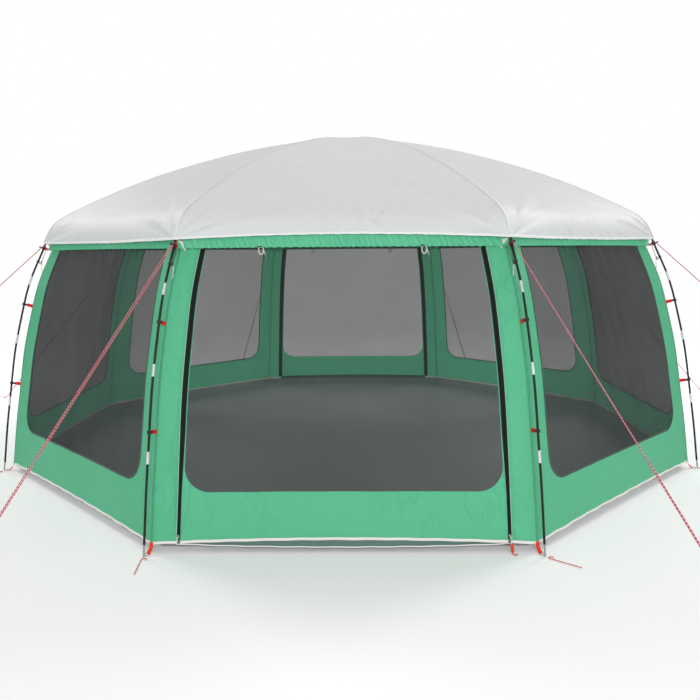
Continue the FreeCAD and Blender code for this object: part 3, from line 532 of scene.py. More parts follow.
GREEN, GREEN_LIGHT = srgb(106, 208, 162), (0.50, 1.0, 0.82, 1)
MATERIALS = {
    "roof": cloth("roof_cloth", srgb(250, 250, 251), rough=0.50, pitch=0.0020, bump=0.10,
                  vary=0.010, translucent=0.42, through=(0.96, 0.96, 0.97, 1), sheen=0.05,
                  ripstop=0.03, crease=0.42),
    "green": cloth("green_cloth", GREEN, rough=0.50, bump=0.18, vary=0.025,
                   translucent=0.42, through=GREEN_LIGHT, sheen=0.10, ripstop=0.05,
                   dirt=0.04, crease=0.62, pucker=1.0),
    "band": cloth("green_band_cloth", GREEN, rough=0.55, bump=0.25, translucent=0.15,
                  through=GREEN_LIGHT, sheen=0.10, crease=0.45),
    "net": net("insect_mesh", srgb(44, 46, 47), clear=0.44),
    "binding_dark": tape("dark_binding_tape", srgb(40, 66, 56), rough=0.7, pitch=0.0016,
                         bump=0.35, vary=0.08),
    "binding_white": cloth("white_binding_tape", srgb(236, 233, 230), rough=0.65,
                           pitch=0.0018, bump=0.35, vary=0.03, dirt=0.03, crease=0.10),
    "floor": cloth("floor_sheet_cloth", srgb(152, 156, 156), rough=0.6, pitch=0.0030,
                   bump=0.35, vary=0.10, sheen=0.05, ripstop=0.10, crease=0.45),
    "seam": tape("seam_tape", srgb(236, 238, 239), rough=0.5, pitch=0.0020, bump=0.3,
                 vary=0.03),
    "seam_green": tape("green_seam_tape", srgb(66, 160, 114), rough=0.6, pitch=0.0020,
                       bump=0.3),
    "sill": cloth("grey_green_sill", srgb(92, 124, 112), rough=0.7, pitch=0.0020, bump=0.3,
                  vary=0.06, sheen=0.0, crease=0.3),
    "piping": tape("pale_piping", srgb(160, 222, 192), rough=0.6, pitch=0.0012, bump=0.3,
                   vary=0.03),
    "zip": tape("zip_tape_cloth", srgb(24, 26, 26), rough=0.85, pitch=0.0012, bump=0.4,
                vary=0.08, sheen=0.0),
    "coil": hard("zip_coil", srgb(14, 15, 15), rough=0.70, grain=0.1, bump=0.3, scale=700.0),
    "red": tape("red_webbing", srgb(240, 26, 12), rough=0.7, pitch=0.0016, bump=0.6,
                vary=0.08, sheen=0.0),
    "orange": tape("orange_webbing", srgb(240, 66, 20), rough=0.7, pitch=0.0018, bump=0.6,
                   vary=0.08, sheen=0.0),
    "reflect": tape("reflective_patch_cloth", srgb(225, 222, 220), rough=0.35,
                    pitch=0.0012, bump=0.3, vary=0.04),
    "white_cord": braid("white_cord_braid", srgb(236, 236, 232), srgb(205, 205, 200)),
    "black_cord": braid("black_elastic_braid", srgb(22, 23, 24), srgb(46, 47, 48)),
    "guy": braid("guy_cord_braid", srgb(204, 16, 62), srgb(250, 232, 238), pitch=0.016,
                 share=0.26),
    "pole": hard("glass_fibre_tube", srgb(13, 14, 14), rough=0.48, grain=0.12, bump=0.08,
                 scale=260.0),
    "elbow": hard("black_painted_steel", srgb(14, 15, 15), rough=0.50, grain=0.1, bump=0.1,
                  scale=160.0, wear=srgb(120, 120, 122)),
    "ferrule": hard("bright_sleeve", srgb(242, 243, 244), rough=0.32, metallic=0.15,
                    grain=0.04, bump=0.06, scale=200.0, wear=srgb(190, 190, 192)),
    "steel": hard("zinc_steel", srgb(168, 169, 174), rough=0.36, metallic=0.85, grain=0.15,
                  bump=0.12, scale=220.0),
    "plastic": hard("moulded_black_plastic", srgb(15, 16, 16), rough=0.55, grain=0.12,
                    bump=0.2, scale=420.0, wear=srgb(60, 60, 62)),
    "peg": hard("red_painted_wire", srgb(218, 52, 22), rough=0.36, grain=0.10, bump=0.1,
                scale=200.0, wear=srgb(150, 120, 110), coat=0.3),
    "grey_plastic": hard("moulded_grey_plastic", srgb(150, 152, 154), rough=0.5, grain=0.1,
                         bump=0.2, scale=400.0),
}


# ------------------------------------------------------------------ mesh building
# cross-section of a strap, in half widths and half thicknesses
STRAP_PROFILE = np.array([(-1, -0.55), (-0.9, -1), (0.9, -1), (1, -0.55),
                          (1, 0.55), (0.9, 1), (-0.9, 1), (-1, 0.55)])


class Sheet:
    """Collects patches of faces with a UV map in metres, then becomes one object."""

    def __init__(self):
        self.points, self.faces, self.uvs, self.slots = [], [], [], []

    def face(self, corners, uvs, slot):
        self.faces.append(corners)
        self.uvs.append(uvs)
        self.slots.append(slot)

    def grid(self, place, uv=None, slot=0, closed=False, capped=False):
        """Quads over place[row, column]; closed joins each row's ends, capped fills the
        first and last rows."""
        rows, columns = place.shape[:2]
        base = len(self.points)
        self.points += [tuple(p) for p in place.reshape(-1, 3)]
        uv = np.zeros((rows * columns, 2)) if uv is None else uv.reshape(-1, 2)
        for i in range(rows - 1):
            for j in range(columns if closed else columns - 1):
                near, far = i * columns, (i + 1) * columns
                k = (j + 1) % columns
                quad = [near + j, near + k, far + k, far + j]
                self.face([base + x for x in quad], [tuple(uv[x]) for x in quad], slot)
        if capped:
            first = list(range(base, base + columns))
            last = [x + (rows - 1) * columns for x in first]
            for corners in (first[::-1], last):
                self.face(corners, [(0, 0)] * columns, slot)

    def tube(self, line, radius, sides, slot=0, taper=None, capped=True):
        """Round rod along a line; taper scales the radius at each point."""
        line = np.array(line, float)
        along = directions(line)
        x = np.cross(along[0], UP if abs(along[0][2]) < 0.9 else (1.0, 0, 0))
        angles = circle(sides)[:, None]
        rings = []
        for i, ahead in enumerate(along):
            x = unit(x - ahead * (x @ ahead))
            size = radius * (1.0 if taper is None else taper[i])
            y = np.cross(ahead, x)
            rings.append(line[i] + size * (np.cos(angles) * x + np.sin(angles) * y))
        around = np.arange(sides) / sides * 2 * math.pi * radius
        uv = np.stack(np.meshgrid(around, distances(line)), -1)
        self.grid(np.array(rings), uv, slot, closed=True, capped=capped)

    def ribbon(self, line, side, width, thick, slot=0):
        """Flat strap with a real thickness along line, spread along side."""
        line = np.array(line, float)
        side = unit(np.broadcast_to(side, line.shape))
        normal = unit(np.cross(directions(line), side))
        a, b = STRAP_PROFILE.T
        reach = (width * np.ones(len(line)) / 2)[:, None] * a
        rings = (line[:, None] + side[:, None] * reach[..., None]
                 + normal[:, None] * (b * thick / 2)[:, None])
        run = np.broadcast_to(distances(line)[:, None], reach.shape)
        self.grid(rings, np.stack([reach, run], -1), slot, closed=True, capped=True)

    def make(self, name, *looks, slot, replaces=(), body="tent", thick=0.0, offset=0.0,
             weld=1e-5):
        """Object with the MATERIALS named in looks; offset places the added thickness."""
        mesh = bpy.data.meshes.new(name)
        mesh.from_pydata(self.points, [], self.faces)
        layer = mesh.uv_layers.new(name="cloth")
        layer.data.foreach_set("uv", [value for face in self.uvs for corner in face
                                      for value in corner])
        for i, index in enumerate(self.slots):
            if index:
                mesh.polygons[i].material_index = index
        thing = bpy.data.objects.new(name, mesh)
        bpy.context.scene.collection.objects.link(thing)
        for look in looks:
            mesh.materials.append(MATERIALS[look])
        work = bmesh.new()
        work.from_mesh(mesh)
        if weld:
            bmesh.ops.remove_doubles(work, verts=work.verts, dist=weld)
        if not thick:
            bmesh.ops.recalc_face_normals(work, faces=work.faces)
        work.to_mesh(mesh)
        work.free()
        if thick:
            thicken(thing, thick, offset)
        shade_smooth(thing.data)
        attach(thing, body)
        if replaces:
            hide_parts(*replaces)
        return thing


def thicken(thing, thick, offset):
    solid = thing.modifiers.new("thick", "SOLIDIFY")
    solid.thickness = thick
    solid.offset = offset
    solid.use_quality_normals = True
    graph = bpy.context.evaluated_depsgraph_get()
    mesh = bpy.data.meshes.new_from_object(
        thing.evaluated_get(graph), preserve_all_data_layers=True, depsgraph=graph)
    thing.modifiers.clear()
    thin = thing.data
    thing.data = mesh
    bpy.data.meshes.remove(thin)


def shade_smooth(mesh, limit=math.radians(40.0)):
    """Smooth faces, with sharp edges where they meet at more than the limit."""
    for face in mesh.polygons:
        face.use_smooth = True
    work = bmesh.new()
    work.from_mesh(mesh)
    for edge in work.edges:
        if len(edge.link_faces) == 2 and edge.calc_face_angle(0.0) > limit:
            edge.smooth = False
    work.to_mesh(mesh)
    work.free()


# ------------------------------------------------------------------ panel parts
def window_columns(strip):
    """Shares across a window, closer together in its rounded corners."""
    corner = WINDOW_RADIUS / WINDOW_WIDTH
    curve = (strip + corner * (1 - np.cos(np.linspace(0, math.pi / 2, 14))))[:-1]
    middle = np.linspace(strip + corner, 1 - strip - corner, 44)
    return np.concatenate([curve, middle, (1 - curve)[::-1]])


def window_edge(share, strip, low):
    """Height of a window's lower edge: flat, rising in a quarter circle at each side."""
    inset = np.minimum(share - strip, 1 - strip - share) * WINDOW_WIDTH
    inset = np.clip(inset, 0, WINDOW_RADIUS)
    drop = np.clip(WINDOW_RADIUS ** 2 - (WINDOW_RADIUS - inset) ** 2, 0, None)
    return low + WINDOW_RADIUS - np.sqrt(drop)


def wall_patch(sheet, panel, shares, heights, off=0.0):
    shares, heights = np.broadcast_arrays(shares, heights)
    place = wall_point(panel, shares, heights, off)
    sheet.grid(place, panel_uv(place, panel))


def cloth_below(sheet, panel, columns, edge):
    """Cloth from the hem to a window's lower edge; gives the heights of its rows at the side."""
    heights = CLOTH_FOOT_Z + (edge - CLOTH_FOOT_Z) * np.linspace(0, 1, 12)[:, None]
    wall_patch(sheet, panel, columns, heights)
    return heights[:, 0]


def side_strips(sheet, panel, shares, heights):
    """The same upright strip at both sides of a panel."""
    for strip in (shares, 1 - shares[::-1]):
        wall_patch(sheet, panel, strip, heights[:, None])


def window_net(name, panel, columns, edge, top, rows, replaces):
    """One bowed sheet of mesh from just below the window's edge to top."""
    low = edge - MESH_LAP
    sheet = Sheet()
    heights = low + (top - low) * np.linspace(0, 1, rows)[:, None]
    wall_patch(sheet, panel, columns, heights, off=-0.0004)
    return sheet.make(name, "net", slot="window_mesh", replaces=replaces)


def hem_tape(sheet, panel, shares):
    sheet.ribbon(wall_point(panel, shares, HEM_Z), UP, width=0.015, thick=0.0036)


# ------------------------------------------------------------------ fixed walls
def fixed_wall(panel, name):
    columns = window_columns(WINDOW_STRIP)
    edge = window_edge(columns, WINDOW_STRIP, WINDOW_LOW_Z)
    round_z = WINDOW_LOW_Z + WINDOW_RADIUS

    sheet = Sheet()
    side = cloth_below(sheet, panel, columns, edge)
    head = np.linspace(WINDOW_TOP_Z, WALL_TOP_Z, 6)
    side = np.concatenate([side, np.linspace(round_z, WINDOW_TOP_Z, 46)[1:], head[1:]])
    side_strips(sheet, panel, np.linspace(0.0004, WINDOW_STRIP, 9), side)
    wall_patch(sheet, panel, columns, head[:, None])
    sheet.make("wall_cloth_" + name, "green", slot="green_fabric",
               replaces=["wall_" + name], thick=CLOTH_THICK)

    window_net("window_mesh_" + name, panel, columns, edge, WINDOW_TOP_Z, rows=54,
               replaces=["window_meshes"] if panel == 1 else ())

    # binding tape down one side of the window, along its lower edge and up the other
    down = np.linspace(WINDOW_TOP_Z, round_z, 41)
    rise = np.linspace(round_z, WINDOW_TOP_Z, 41)
    shares = np.concatenate([[WINDOW_STRIP] * 40, columns, [1 - WINDOW_STRIP] * 40])
    line = wall_point(panel, shares, np.concatenate([down[:-1], edge, rise[1:]]), off=0.0016)
    side = np.cross(np.gradient(line, axis=0), outward(mid_angle(panel)) + 0.15 * UP)
    sheet = Sheet()
    sheet.ribbon(line, side, width=0.011, thick=0.0018)
    sheet.make("window_binding_" + name, "binding_dark", slot="dark_binding",
               replaces=["window_bindings"] if panel == 1 else ())


for panel, name in WALLS.items():
    fixed_wall(panel, name)

# ------------------------------------------------------------------ doors
LEAF_STRIP = DOOR + 0.0095                  # cloth beside the door's window ends here
LEAF_WINDOW_Z = WINDOW_LOW_Z - 0.012
LEAF_TOP_Z = DOOR_TOP_Z - 0.002
ZIP_Z = np.linspace(0.062, DOOR_TOP_Z - 0.006, 90)
ZIP_FLARE = np.clip((ZIP_Z - 0.30) / 0.35, 0, 1)    # tape widens from 0 to 1 going up


def roll_up(thing):
    """Give a part of the door leaf its own copy of its mesh."""
    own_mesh(thing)


def zip_lines(panel, shift, off):
    """Lines beside both zips, shifted towards the door's middle, off outside the cloth."""
    return [wall_point(panel, end + way * shift / panel_width(ZIP_Z), ZIP_Z, off)
            for end, way in ((DOOR, 1), (1 - DOOR, -1))]


def door_surround(panel, name):
    sheet = Sheet()
    head = np.linspace(DOOR_TOP_Z, WALL_TOP_Z, 5)
    heights = np.concatenate([np.linspace(CLOTH_FOOT_Z, DOOR_TOP_Z, 64), head[1:]])
    side_strips(sheet, panel, np.linspace(0.0004, SURROUND_EDGE, 9), heights)
    wall_patch(sheet, panel, np.linspace(SURROUND_EDGE, 1 - SURROUND_EDGE, 60),
               head[:, None])
    sheet.make(name + "_surround_cloth", "green", slot="green_fabric",
               replaces=[name + "_door_surround"], thick=CLOTH_THICK)


def door_leaf(panel, name):
    columns = window_columns(LEAF_STRIP)
    edge = window_edge(columns, LEAF_STRIP, LEAF_WINDOW_Z)
    sheet = Sheet()
    side = cloth_below(sheet, panel, columns, edge)
    rise = np.linspace(LEAF_WINDOW_Z + WINDOW_RADIUS, LEAF_TOP_Z, 56)
    side_strips(sheet, panel, np.linspace(LEAF_EDGE, LEAF_STRIP, 3),
                np.concatenate([side, rise[1:]]))
    leaf = sheet.make(name + "_door_cloth", "green", slot="green_fabric",
                      replaces=[name + "_door_panel"], thick=CLOTH_THICK)
    roll_up(leaf)
    roll_up(window_net(name + "_door_window_mesh", panel, columns, edge, LEAF_TOP_Z,
                       rows=60, replaces=[name + "_door_mesh"]))


def door_zips(panel, name):
    side = sideways(mid_angle(panel))

    # a tape and half the coil on each edge: way -1 on the surround, 1 on the leaf
    for way, part in ((-1, "fixed"), (1, "leaf")):
        sheet = Sheet()
        tapes = zip_lines(panel, way * (ZIP_HALF + 0.0023 + 0.0025 * ZIP_FLARE), off=0.0018)
        coils = zip_lines(panel, way * (ZIP_HALF - 0.0013), off=0.0022)
        for tape_line, coil_line in zip(tapes, coils):
            sheet.ribbon(tape_line, side, width=0.0055 + 0.0050 * ZIP_FLARE, thick=0.0009)
            sheet.tube(coil_line, radius=0.0021, sides=8, slot=1)
        if part == "leaf":
            replaced = [name + "_door_zip_tapes"]
        else:
            replaced = ["zip_tapes_fixed"] if panel == 0 else []
        thing = sheet.make("%s_zip_%s" % (name, part), "zip", "coil", slot="zip_tape",
                           replaces=replaced)
        if part == "leaf":
            roll_up(thing)

    # broad dark flap inside the cloth, set to the surround's side of the zip
    sheet = Sheet()
    for line in zip_lines(panel, -0.011, off=-0.0050):
        sheet.ribbon(line, side, width=0.040, thick=0.0010)
    sheet.make(name + "_zip_inner_flap", "zip", slot="zip_tape")

    # pale piping where the surround's cloth meets the tape
    sheet = Sheet()
    for line in zip_lines(panel, -(ZIP_HALF + 0.0068 + 0.0050 * ZIP_FLARE), off=0.0022):
        sheet.tube(line, radius=0.0016, sides=8)
    sheet.make(name + "_zip_piping", "piping", slot="green_fabric")


def door_hem(panel, name):
    sheet = Sheet()
    hem_tape(sheet, panel, np.linspace(LEAF_EDGE + 0.003, 1 - LEAF_EDGE - 0.003, 80))
    roll_up(sheet.make(name + "_door_hem_tape", "binding_white", slot="white_binding",
                       replaces=[name + "_door_hem"]))


for panel, name in DOORS.items():
    door_surround(panel, name)
    door_leaf(panel, name)
    door_zips(panel, name)
    door_hem(panel, name)

# ------------------------------------------------------------------ hem, sills, corner seams
sheet = Sheet()
for panel in range(8):
    spans = [(0.002, 0.998)]
    if panel in DOORS:
        spans = [(0.002, DOOR - 0.004), (1 - DOOR + 0.004, 0.998)]
    for start, end in spans:
        hem_tape(sheet, panel, np.linspace(start, end, max(8, int(80 * (end - start)))))
sheet.make("wall_hem_tape", "binding_white", slot="white_binding",
           replaces=["wall_hem_binding"])


def door_sill(panel, name):
    """Grey-green cloth under the door with a white bound edge, dipping in the middle."""
    sheet = Sheet()
    shares = np.linspace(DOOR - 0.002, 1 - DOOR + 0.002, 110)
    dip = np.clip(4 * (shares - DOOR) * (1 - DOOR - shares) / (1 - 2 * DOOR) ** 2, 0, 1)
    edge_z = 0.044 - 0.018 * dip ** 0.8
    sheet.ribbon(wall_point(panel, shares, edge_z, off=-0.0075, arched=False), UP,
                 width=0.007, thick=0.0030)
    rise = np.linspace(0, 1, 8)[:, None]
    place = wall_point(panel, shares, edge_z - 0.002 + (0.034 + 0.030 * dip) * rise,
                       off=-0.0100 - 0.010 * rise * (1 - rise), arched=False)
    sheet.grid(place, panel_uv(place, panel), slot=1)
    # near-black rod just under the bound edge: a painted shadow line along the sill's foot
    sheet.tube(wall_point(panel, shares, edge_z - 0.0055, off=-0.0085, arched=False),
               radius=0.0016, sides=7, slot=2)
    sheet.make(name + "_sill", "binding_white", "sill", "zip", slot="groundsheet")


for panel, name in DOORS.items():
    door_sill(panel, name)

sheet = Sheet()
seam_z = np.linspace(HEM_Z, WALL_TOP_Z, 70)
for corner in range(8):
    angle = corner_angle(corner)
    sheet.ribbon(turned(angle, wall_r(seam_z) + 0.0012, 0, seam_z), sideways(angle),
                 width=0.012, thick=0.0016)
sheet.make("wall_corner_seams", "seam_green", slot="green_fabric")

# ------------------------------------------------------------------ roof
ROOF_OFF = 0.0118                           # roof cloth outside the leg's centreline
ROOF_EDGE_Z = 1.624


def ridge_line():
    """Radius and height along a ridge of the roof, from its free edge to the peak."""
    along = directions(LEG)
    normal = np.stack([along[:, 1], -along[:, 0]], -1)
    normal[-1] = (0, 1)
    line = LEG + normal * ROOF_OFF
    edge = [np.interp(ROOF_EDGE_Z, line[:, 1], line[:, 0]), ROOF_EDGE_Z]
    line = np.vstack([edge, line[line[:, 1] >= ROOF_EDGE_Z]])
    return line[line[:, 0] >= 0]


RIDGE = ridge_line()
RIDGE_RUN = distances(RIDGE)


def ridge_at(run):
    return np.interp(run, RIDGE_RUN, RIDGE[:, 0]), np.interp(run, RIDGE_RUN, RIDGE[:, 1])


def corner_creases(panel, across, run, plane, slack):
    """Tension creases running up and in from each eave corner."""
    crease = 0.0
    for side in (-1.0, 1.0):
        inset = (1 - side * across) * TAN_HALF * plane
        away = np.hypot(inset, run) + 1e-6
        turn = np.arctan2(run, inset + 1e-6)
        fan = (np.sin(11.0 * turn + 1.1 * panel + side)
               + 0.6 * np.sin(23.0 * turn + 2.3 * panel + 3.0 * away))
        fade = np.exp(-away / 0.55) * np.clip(away / 0.06, 0, 1)
        spread = np.sin(np.pi * np.clip(turn / 1.571, 0, 1)) ** 0.7
        crease = crease + 0.0062 * fade * fan * spread * slack ** 0.3
    return crease


def roof_waves(panel, y, run, low):
    """Broad waves, finer slanting ones, and short folds along the free edge."""
    broad = np.sin(7.3 * y + 3.1 * run + 1.9 * panel) * np.sin(4.4 * run + 0.7 * panel)
    slant = (np.sin(17.0 * y - 9.0 * run + panel)
             * np.sin(6.1 * run + 2.0 * y + 1.7 * panel))
    turns = y / 0.105 + 0.4 * np.sin(4 * y + panel)
    edge = low * np.sin(2 * np.pi * turns + 4.0 * run)
    return 0.0030 * broad + 0.0016 * slant + 0.0026 * edge


def roof_point(panel, across, run, off=0.0):
    """across is -1 to 1 between ridges, run the metres up the ridge from the free edge."""
    r, z = ridge_at(run)
    r_ahead, z_ahead = ridge_at(run + 0.02)
    r_behind, z_behind = ridge_at(run - 0.02)
    inward, rise = (r_ahead - r_behind) * COS_HALF, z_ahead - z_behind
    length = np.hypot(inward, rise) + 1e-9
    plane = r * COS_HALF
    y = across * TAN_HALF * plane
    slack = 1 - across ** 2
    low = np.exp(-run / 0.16)
    # slack between the ridges, a little more at the free edge
    sag = -(0.020 * (r / 2.3) ** 1.2) * slack - 0.010 * low * slack
    height = (sag + corner_creases(panel, across, run, plane, slack)
              + roof_waves(panel, y, run, low) * slack + off)
    # the free edge arches up, most of all over the doors
    lift = (0.036 if panel in DOORS else 0.004) * np.exp(-run / 0.13) * slack
    return turned(mid_angle(panel), plane + rise / length * height, y,
                  z - inward / length * height + lift)


sheet = Sheet()
runs = np.concatenate([np.linspace(0, 0.40, 44), np.linspace(0.40, RIDGE_RUN[-1], 62)[1:]])
acrosses = np.concatenate([np.linspace(-1, -0.8, 12), np.linspace(-0.8, 0.8, 50)[1:-1],
                           np.linspace(0.8, 1, 12)])
across_grid, run_grid = np.meshgrid(acrosses, runs)
for panel in range(8):
    place = roof_point(panel, across_grid, run_grid)
    sheet.grid(place, np.stack([panel_across(place, panel), run_grid], -1))
sheet.make("roof_cloth", "roof", slot="roof_fabric", replaces=["roof_canopy"],
           thick=CLOTH_THICK, weld=2e-4, offset=-1)

# flat seams along the ridges, and the turned edge of the roof
sheet = Sheet()
r, z = ridge_at(np.linspace(0.004, RIDGE_RUN[-1] - 0.02, 120))
for corner in range(8):
    side = sideways(corner_angle(corner))
    line = turned(corner_angle(corner), r, 0, z)
    sheet.ribbon(line + upward_normals(line, side) * 0.0004, side,
                 width=0.010 * np.clip(r / 0.5, 0.45, 1), thick=0.0012)
acrosses = np.linspace(-1, 1, 100)
for panel in range(8):
    low, middle, high = [roof_point(panel, acrosses, run, off=0.0003)
                         for run in (0.0, 0.007, 0.020)]
    sheet.ribbon(middle, high - low, width=0.016, thick=0.0022)
sheet.make("roof_seams", "seam", slot="roof_fabric")


# ------------------------------------------------------------------ gathered band below the roof
BAND_PLANE = 2.288 * COS_HALF               # from the Z axis to the middle of each side
BAND_LOW_Z, BAND_HEIGHT = 1.577, 0.050


def band_side(sheet, panel):
    """One side of the band; rise runs 0 at its lower edge to 1 at its top."""
    across = np.linspace(-1, 1, 560)
    rise = np.linspace(0, 1, 9)[:, None]
    fall = 1 - rise
    slack = 1 - across ** 2
    y = across * BAND_PLANE * TAN_HALF
    near = np.exp(-(1 - np.abs(across)) * 2.1)      # 1 at the corners
    # gathers about 40 mm apart, uneven, leaning and deeper near the corners
    phase = 2 * np.pi * (y / 0.040 + 0.55 * np.sin(3.3 * y + panel)
                         + 0.30 * np.sin(11.0 * y + 2 * panel) + 0.75 * rise)
    fold = (0.0058 * (0.55 + 0.45 * near) * np.sin(phase) * (1 - 0.30 * rise)
            + 0.0018 * np.sin(phase * 2.3 + 1.0 + panel)
            + 0.0020 * np.sin(2 * np.pi * y / 0.21 + panel))
    fold = fold * np.clip((1 - np.abs(across)) / 0.012, 0, 1)
    arch = (0.034 if panel in DOORS else 0.004) * slack
    z = (BAND_LOW_Z + (BAND_HEIGHT + arch) * rise + 0.0015 * np.sin(phase) * fall
         + 0.003 * slack * fall)
    y = y + 0.015 * fall * np.sign(across) * near
    out = BAND_PLANE + 0.009 * fall + fold - 0.010 * slack
    sheet.grid(turned(mid_angle(panel), out, y, z), np.stack([y, z], -1))


sheet = Sheet()
for panel in range(8):
    band_side(sheet, panel)
sheet.make("valance_cloth", "band", slot="green_fabric", replaces=["roof_valance"],
           thick=CLOTH_THICK, weld=4e-4)

# ------------------------------------------------------------------ floor with a low upstand
FLOOR_R, UPSTAND_R = 2.5450, 2.6290         # corner radii at the upstand's foot and top
FLOOR_Z, FLOOR_UNDER_Z = 0.0032, 0.0004
UPSTAND_LOW_Z, UPSTAND_TOP_Z = 0.003, 0.0415


def octagon_r(angle, corner_r):
    """Radius of an octagon's edge in direction angle."""
    turn = (angle - mid_angle(0)) % math.radians(45)
    turn = np.where(turn > HALF_SIDE, turn - math.radians(45), turn)
    return corner_r * COS_HALF / np.cos(turn)


def floor_sheet():
    angles = circle(8 * 24) + corner_angle(0)
    outs = np.concatenate([np.linspace(0.002, 0.90, 40), np.linspace(0.90, 1.0, 12)[1:]])
    angle_grid, out_grid = np.meshgrid(angles, outs)
    base = turned(angle_grid, octagon_r(angle_grid, FLOOR_R) * out_grid, 0, FLOOR_UNDER_Z)
    x, y = base[..., 0], base[..., 1]
    # gentle bumps that die out at the edge
    bumps = (0.0016 * np.sin(3.1 * x + 1.2 * np.sin(2.3 * y)) * np.sin(2.7 * y + 0.8)
             + 0.0012 * np.sin(9.0 * x - 4.0 * y) * np.sin(5.0 * y + 2.0 * x))
    edge = np.clip((out_grid - 0.975) / 0.025, 0, 1)
    top = points(x, y, FLOOR_Z + np.abs(bumps) * (1 - edge))

    # upstand to just under the wall's hem, following its arches
    steps = (angles - corner_angle(0)) / math.radians(45)
    share, panel = steps % 1.0, np.floor(steps).astype(int) % 8
    rise = (np.arange(7) / 6.0)[:, None]
    r = octagon_r(angles, FLOOR_R + (UPSTAND_R - FLOOR_R) * rise ** 1.35)
    r = r - 0.0022 * np.sin(7 * share * 6.28 + panel) * np.sin(3.14 * rise)
    z = UPSTAND_LOW_Z + (UPSTAND_TOP_Z + hem_arch(panel, share) - UPSTAND_LOW_Z) * rise
    outer = turned(angles, r, 0, z)
    inner = outer.copy()
    inner[..., :2] *= 1 - 0.0018 / 2.43     # about 1.8 mm of thickness
    inner[0, :, 2] = top[-1, :, 2]
    foot = outer[:1].copy()
    foot[..., 2] = FLOOR_UNDER_Z

    flat_uv = base[..., :2]
    rise_uv = np.stack(np.meshgrid((angles - corner_angle(0)) * 2.5, 0.01 * np.arange(15)), -1)
    sheet = Sheet()
    sheet.grid(np.concatenate([top[:-1], inner, outer[::-1], foot, base[::-1][1:]]),
               np.concatenate([flat_uv[:-1], rise_uv + (corner_angle(0) * 2.5, 0),
                               flat_uv[::-1][1:]]),
               closed=True, capped=True)
    sheet.make("floor_sheet", "floor", slot="groundsheet", replaces=["groundsheet"], weld=0)


floor_sheet()

# ------------------------------------------------------------------ pole sleeves under the roof
# across the pole, out from its centreline: side wings with a trough round its inner side
SLEEVE_PROFILE = np.array([
    (-0.024, 0.0062), (-0.014, 0.0058), (-0.0098, 0.001), (-0.0088, -0.005),
    (-0.005, -0.0094), (0, -0.0104), (0.005, -0.0094), (0.0088, -0.005),
    (0.0098, 0.001), (0.014, 0.0058), (0.024, 0.0062),
])

sheet = Sheet()
runs = np.linspace(2.035, 3.68, 90)
reach, depth = SLEEVE_PROFILE.T[..., None]
for corner in range(8):
    side = sideways(corner_angle(corner))
    line = turned(corner_angle(corner), np.interp(runs, LEG_RUN, LEG[:, 0]), 0,
                  np.interp(runs, LEG_RUN, LEG[:, 1]))
    place = line[:, None] + side * reach + upward_normals(line, side)[:, None] * depth
    sheet.grid(place, np.stack(np.meshgrid(SLEEVE_PROFILE[:, 0], runs), -1))
sheet.make("pole_sleeves", "seam", slot="roof_fabric", replaces=["roof_pole_sleeves"],
           thick=0.0009)


# ------------------------------------------------------------------ soft parts at each corner
GRIP_Z = 1.500                              # where the corner elastic grips the leg


def leg_place(corner, z):
    """Place on the leg's centreline at height z, its up axis along the leg."""
    lean = math.atan2(float(leg_r(z - 0.015) - leg_r(z + 0.015)), 0.03)
    angle = corner_angle(corner)
    return leaning_place(turned(angle, leg_r(z), 0, z), angle, lean)


def corner_tabs(sheet, corner):
    """Tabs from the wall to the pole clips, and two straps at the eave hook."""
    for z in (0.640, 1.200):
        leg = leg_place(corner, z)
        x, t = np.linspace(-0.0195, -0.0572, 14), np.linspace(0, 1, 14)
        line = points(x, 0.0012 * np.sin((x + 0.02) * 120), -0.0015 * t ** 2)
        sheet.ribbon(leg.path(line), leg.up, width=0.020 + 0.004 * t, thick=0.0015)
        line = points(np.linspace(-0.0130, -0.0225, 6), 0.0021, 0.0)
        sheet.ribbon(leg.path(line), leg.up, width=0.013, thick=0.0012)
    leg = leg_place(corner, HOOK_Z)
    line = points(np.linspace(-0.0125, -0.0300, 8), 0.0, 0.001 * np.arange(8))
    sheet.ribbon(leg.path(line), leg.up, width=0.013, thick=0.0015)
    line = smooth_path([(0.010, 0.0065, 0.013), (0.0, 0.0075, 0.016), (-0.010, 0.006, 0.012),
                        (-0.020, 0.002, 0.004), (-0.030, 0.0, -0.002)], 26)
    sheet.ribbon(leg.path(line), leg.up * 0.9 + leg.side * 0.2, width=0.010, thick=0.0014)


def base_strap(sheet, corner):
    """Strap from the wall's foot round the ring and back on itself."""
    wall = float(wall_r(0.05))
    ring = float(leg_r(0.0)) - 0.030 * 0.62 - 0.006
    # radius, height
    line = smooth_path([
        (wall + 0.0025, 0.056), (wall + 0.0030, 0.044), (wall + 0.0052, 0.030),
        (ring - 0.0175, 0.0125), (ring - 0.0150, 0.0092), (ring - 0.0120, 0.0083),
        (ring - 0.0106, 0.0060), (ring - 0.0120, 0.0036), (ring - 0.0150, 0.0034),
        (ring - 0.0195, 0.0085), (wall + 0.0070, 0.0250)], 60)
    angle = corner_angle(corner)
    sheet.ribbon(turned(angle, line[:, 0], 0, line[:, 1]), sideways(angle), width=0.022,
                 thick=0.0014)


def grip_point(corner):
    return leg_place(corner, GRIP_Z).path((-0.0215, 0.0, 0.002))


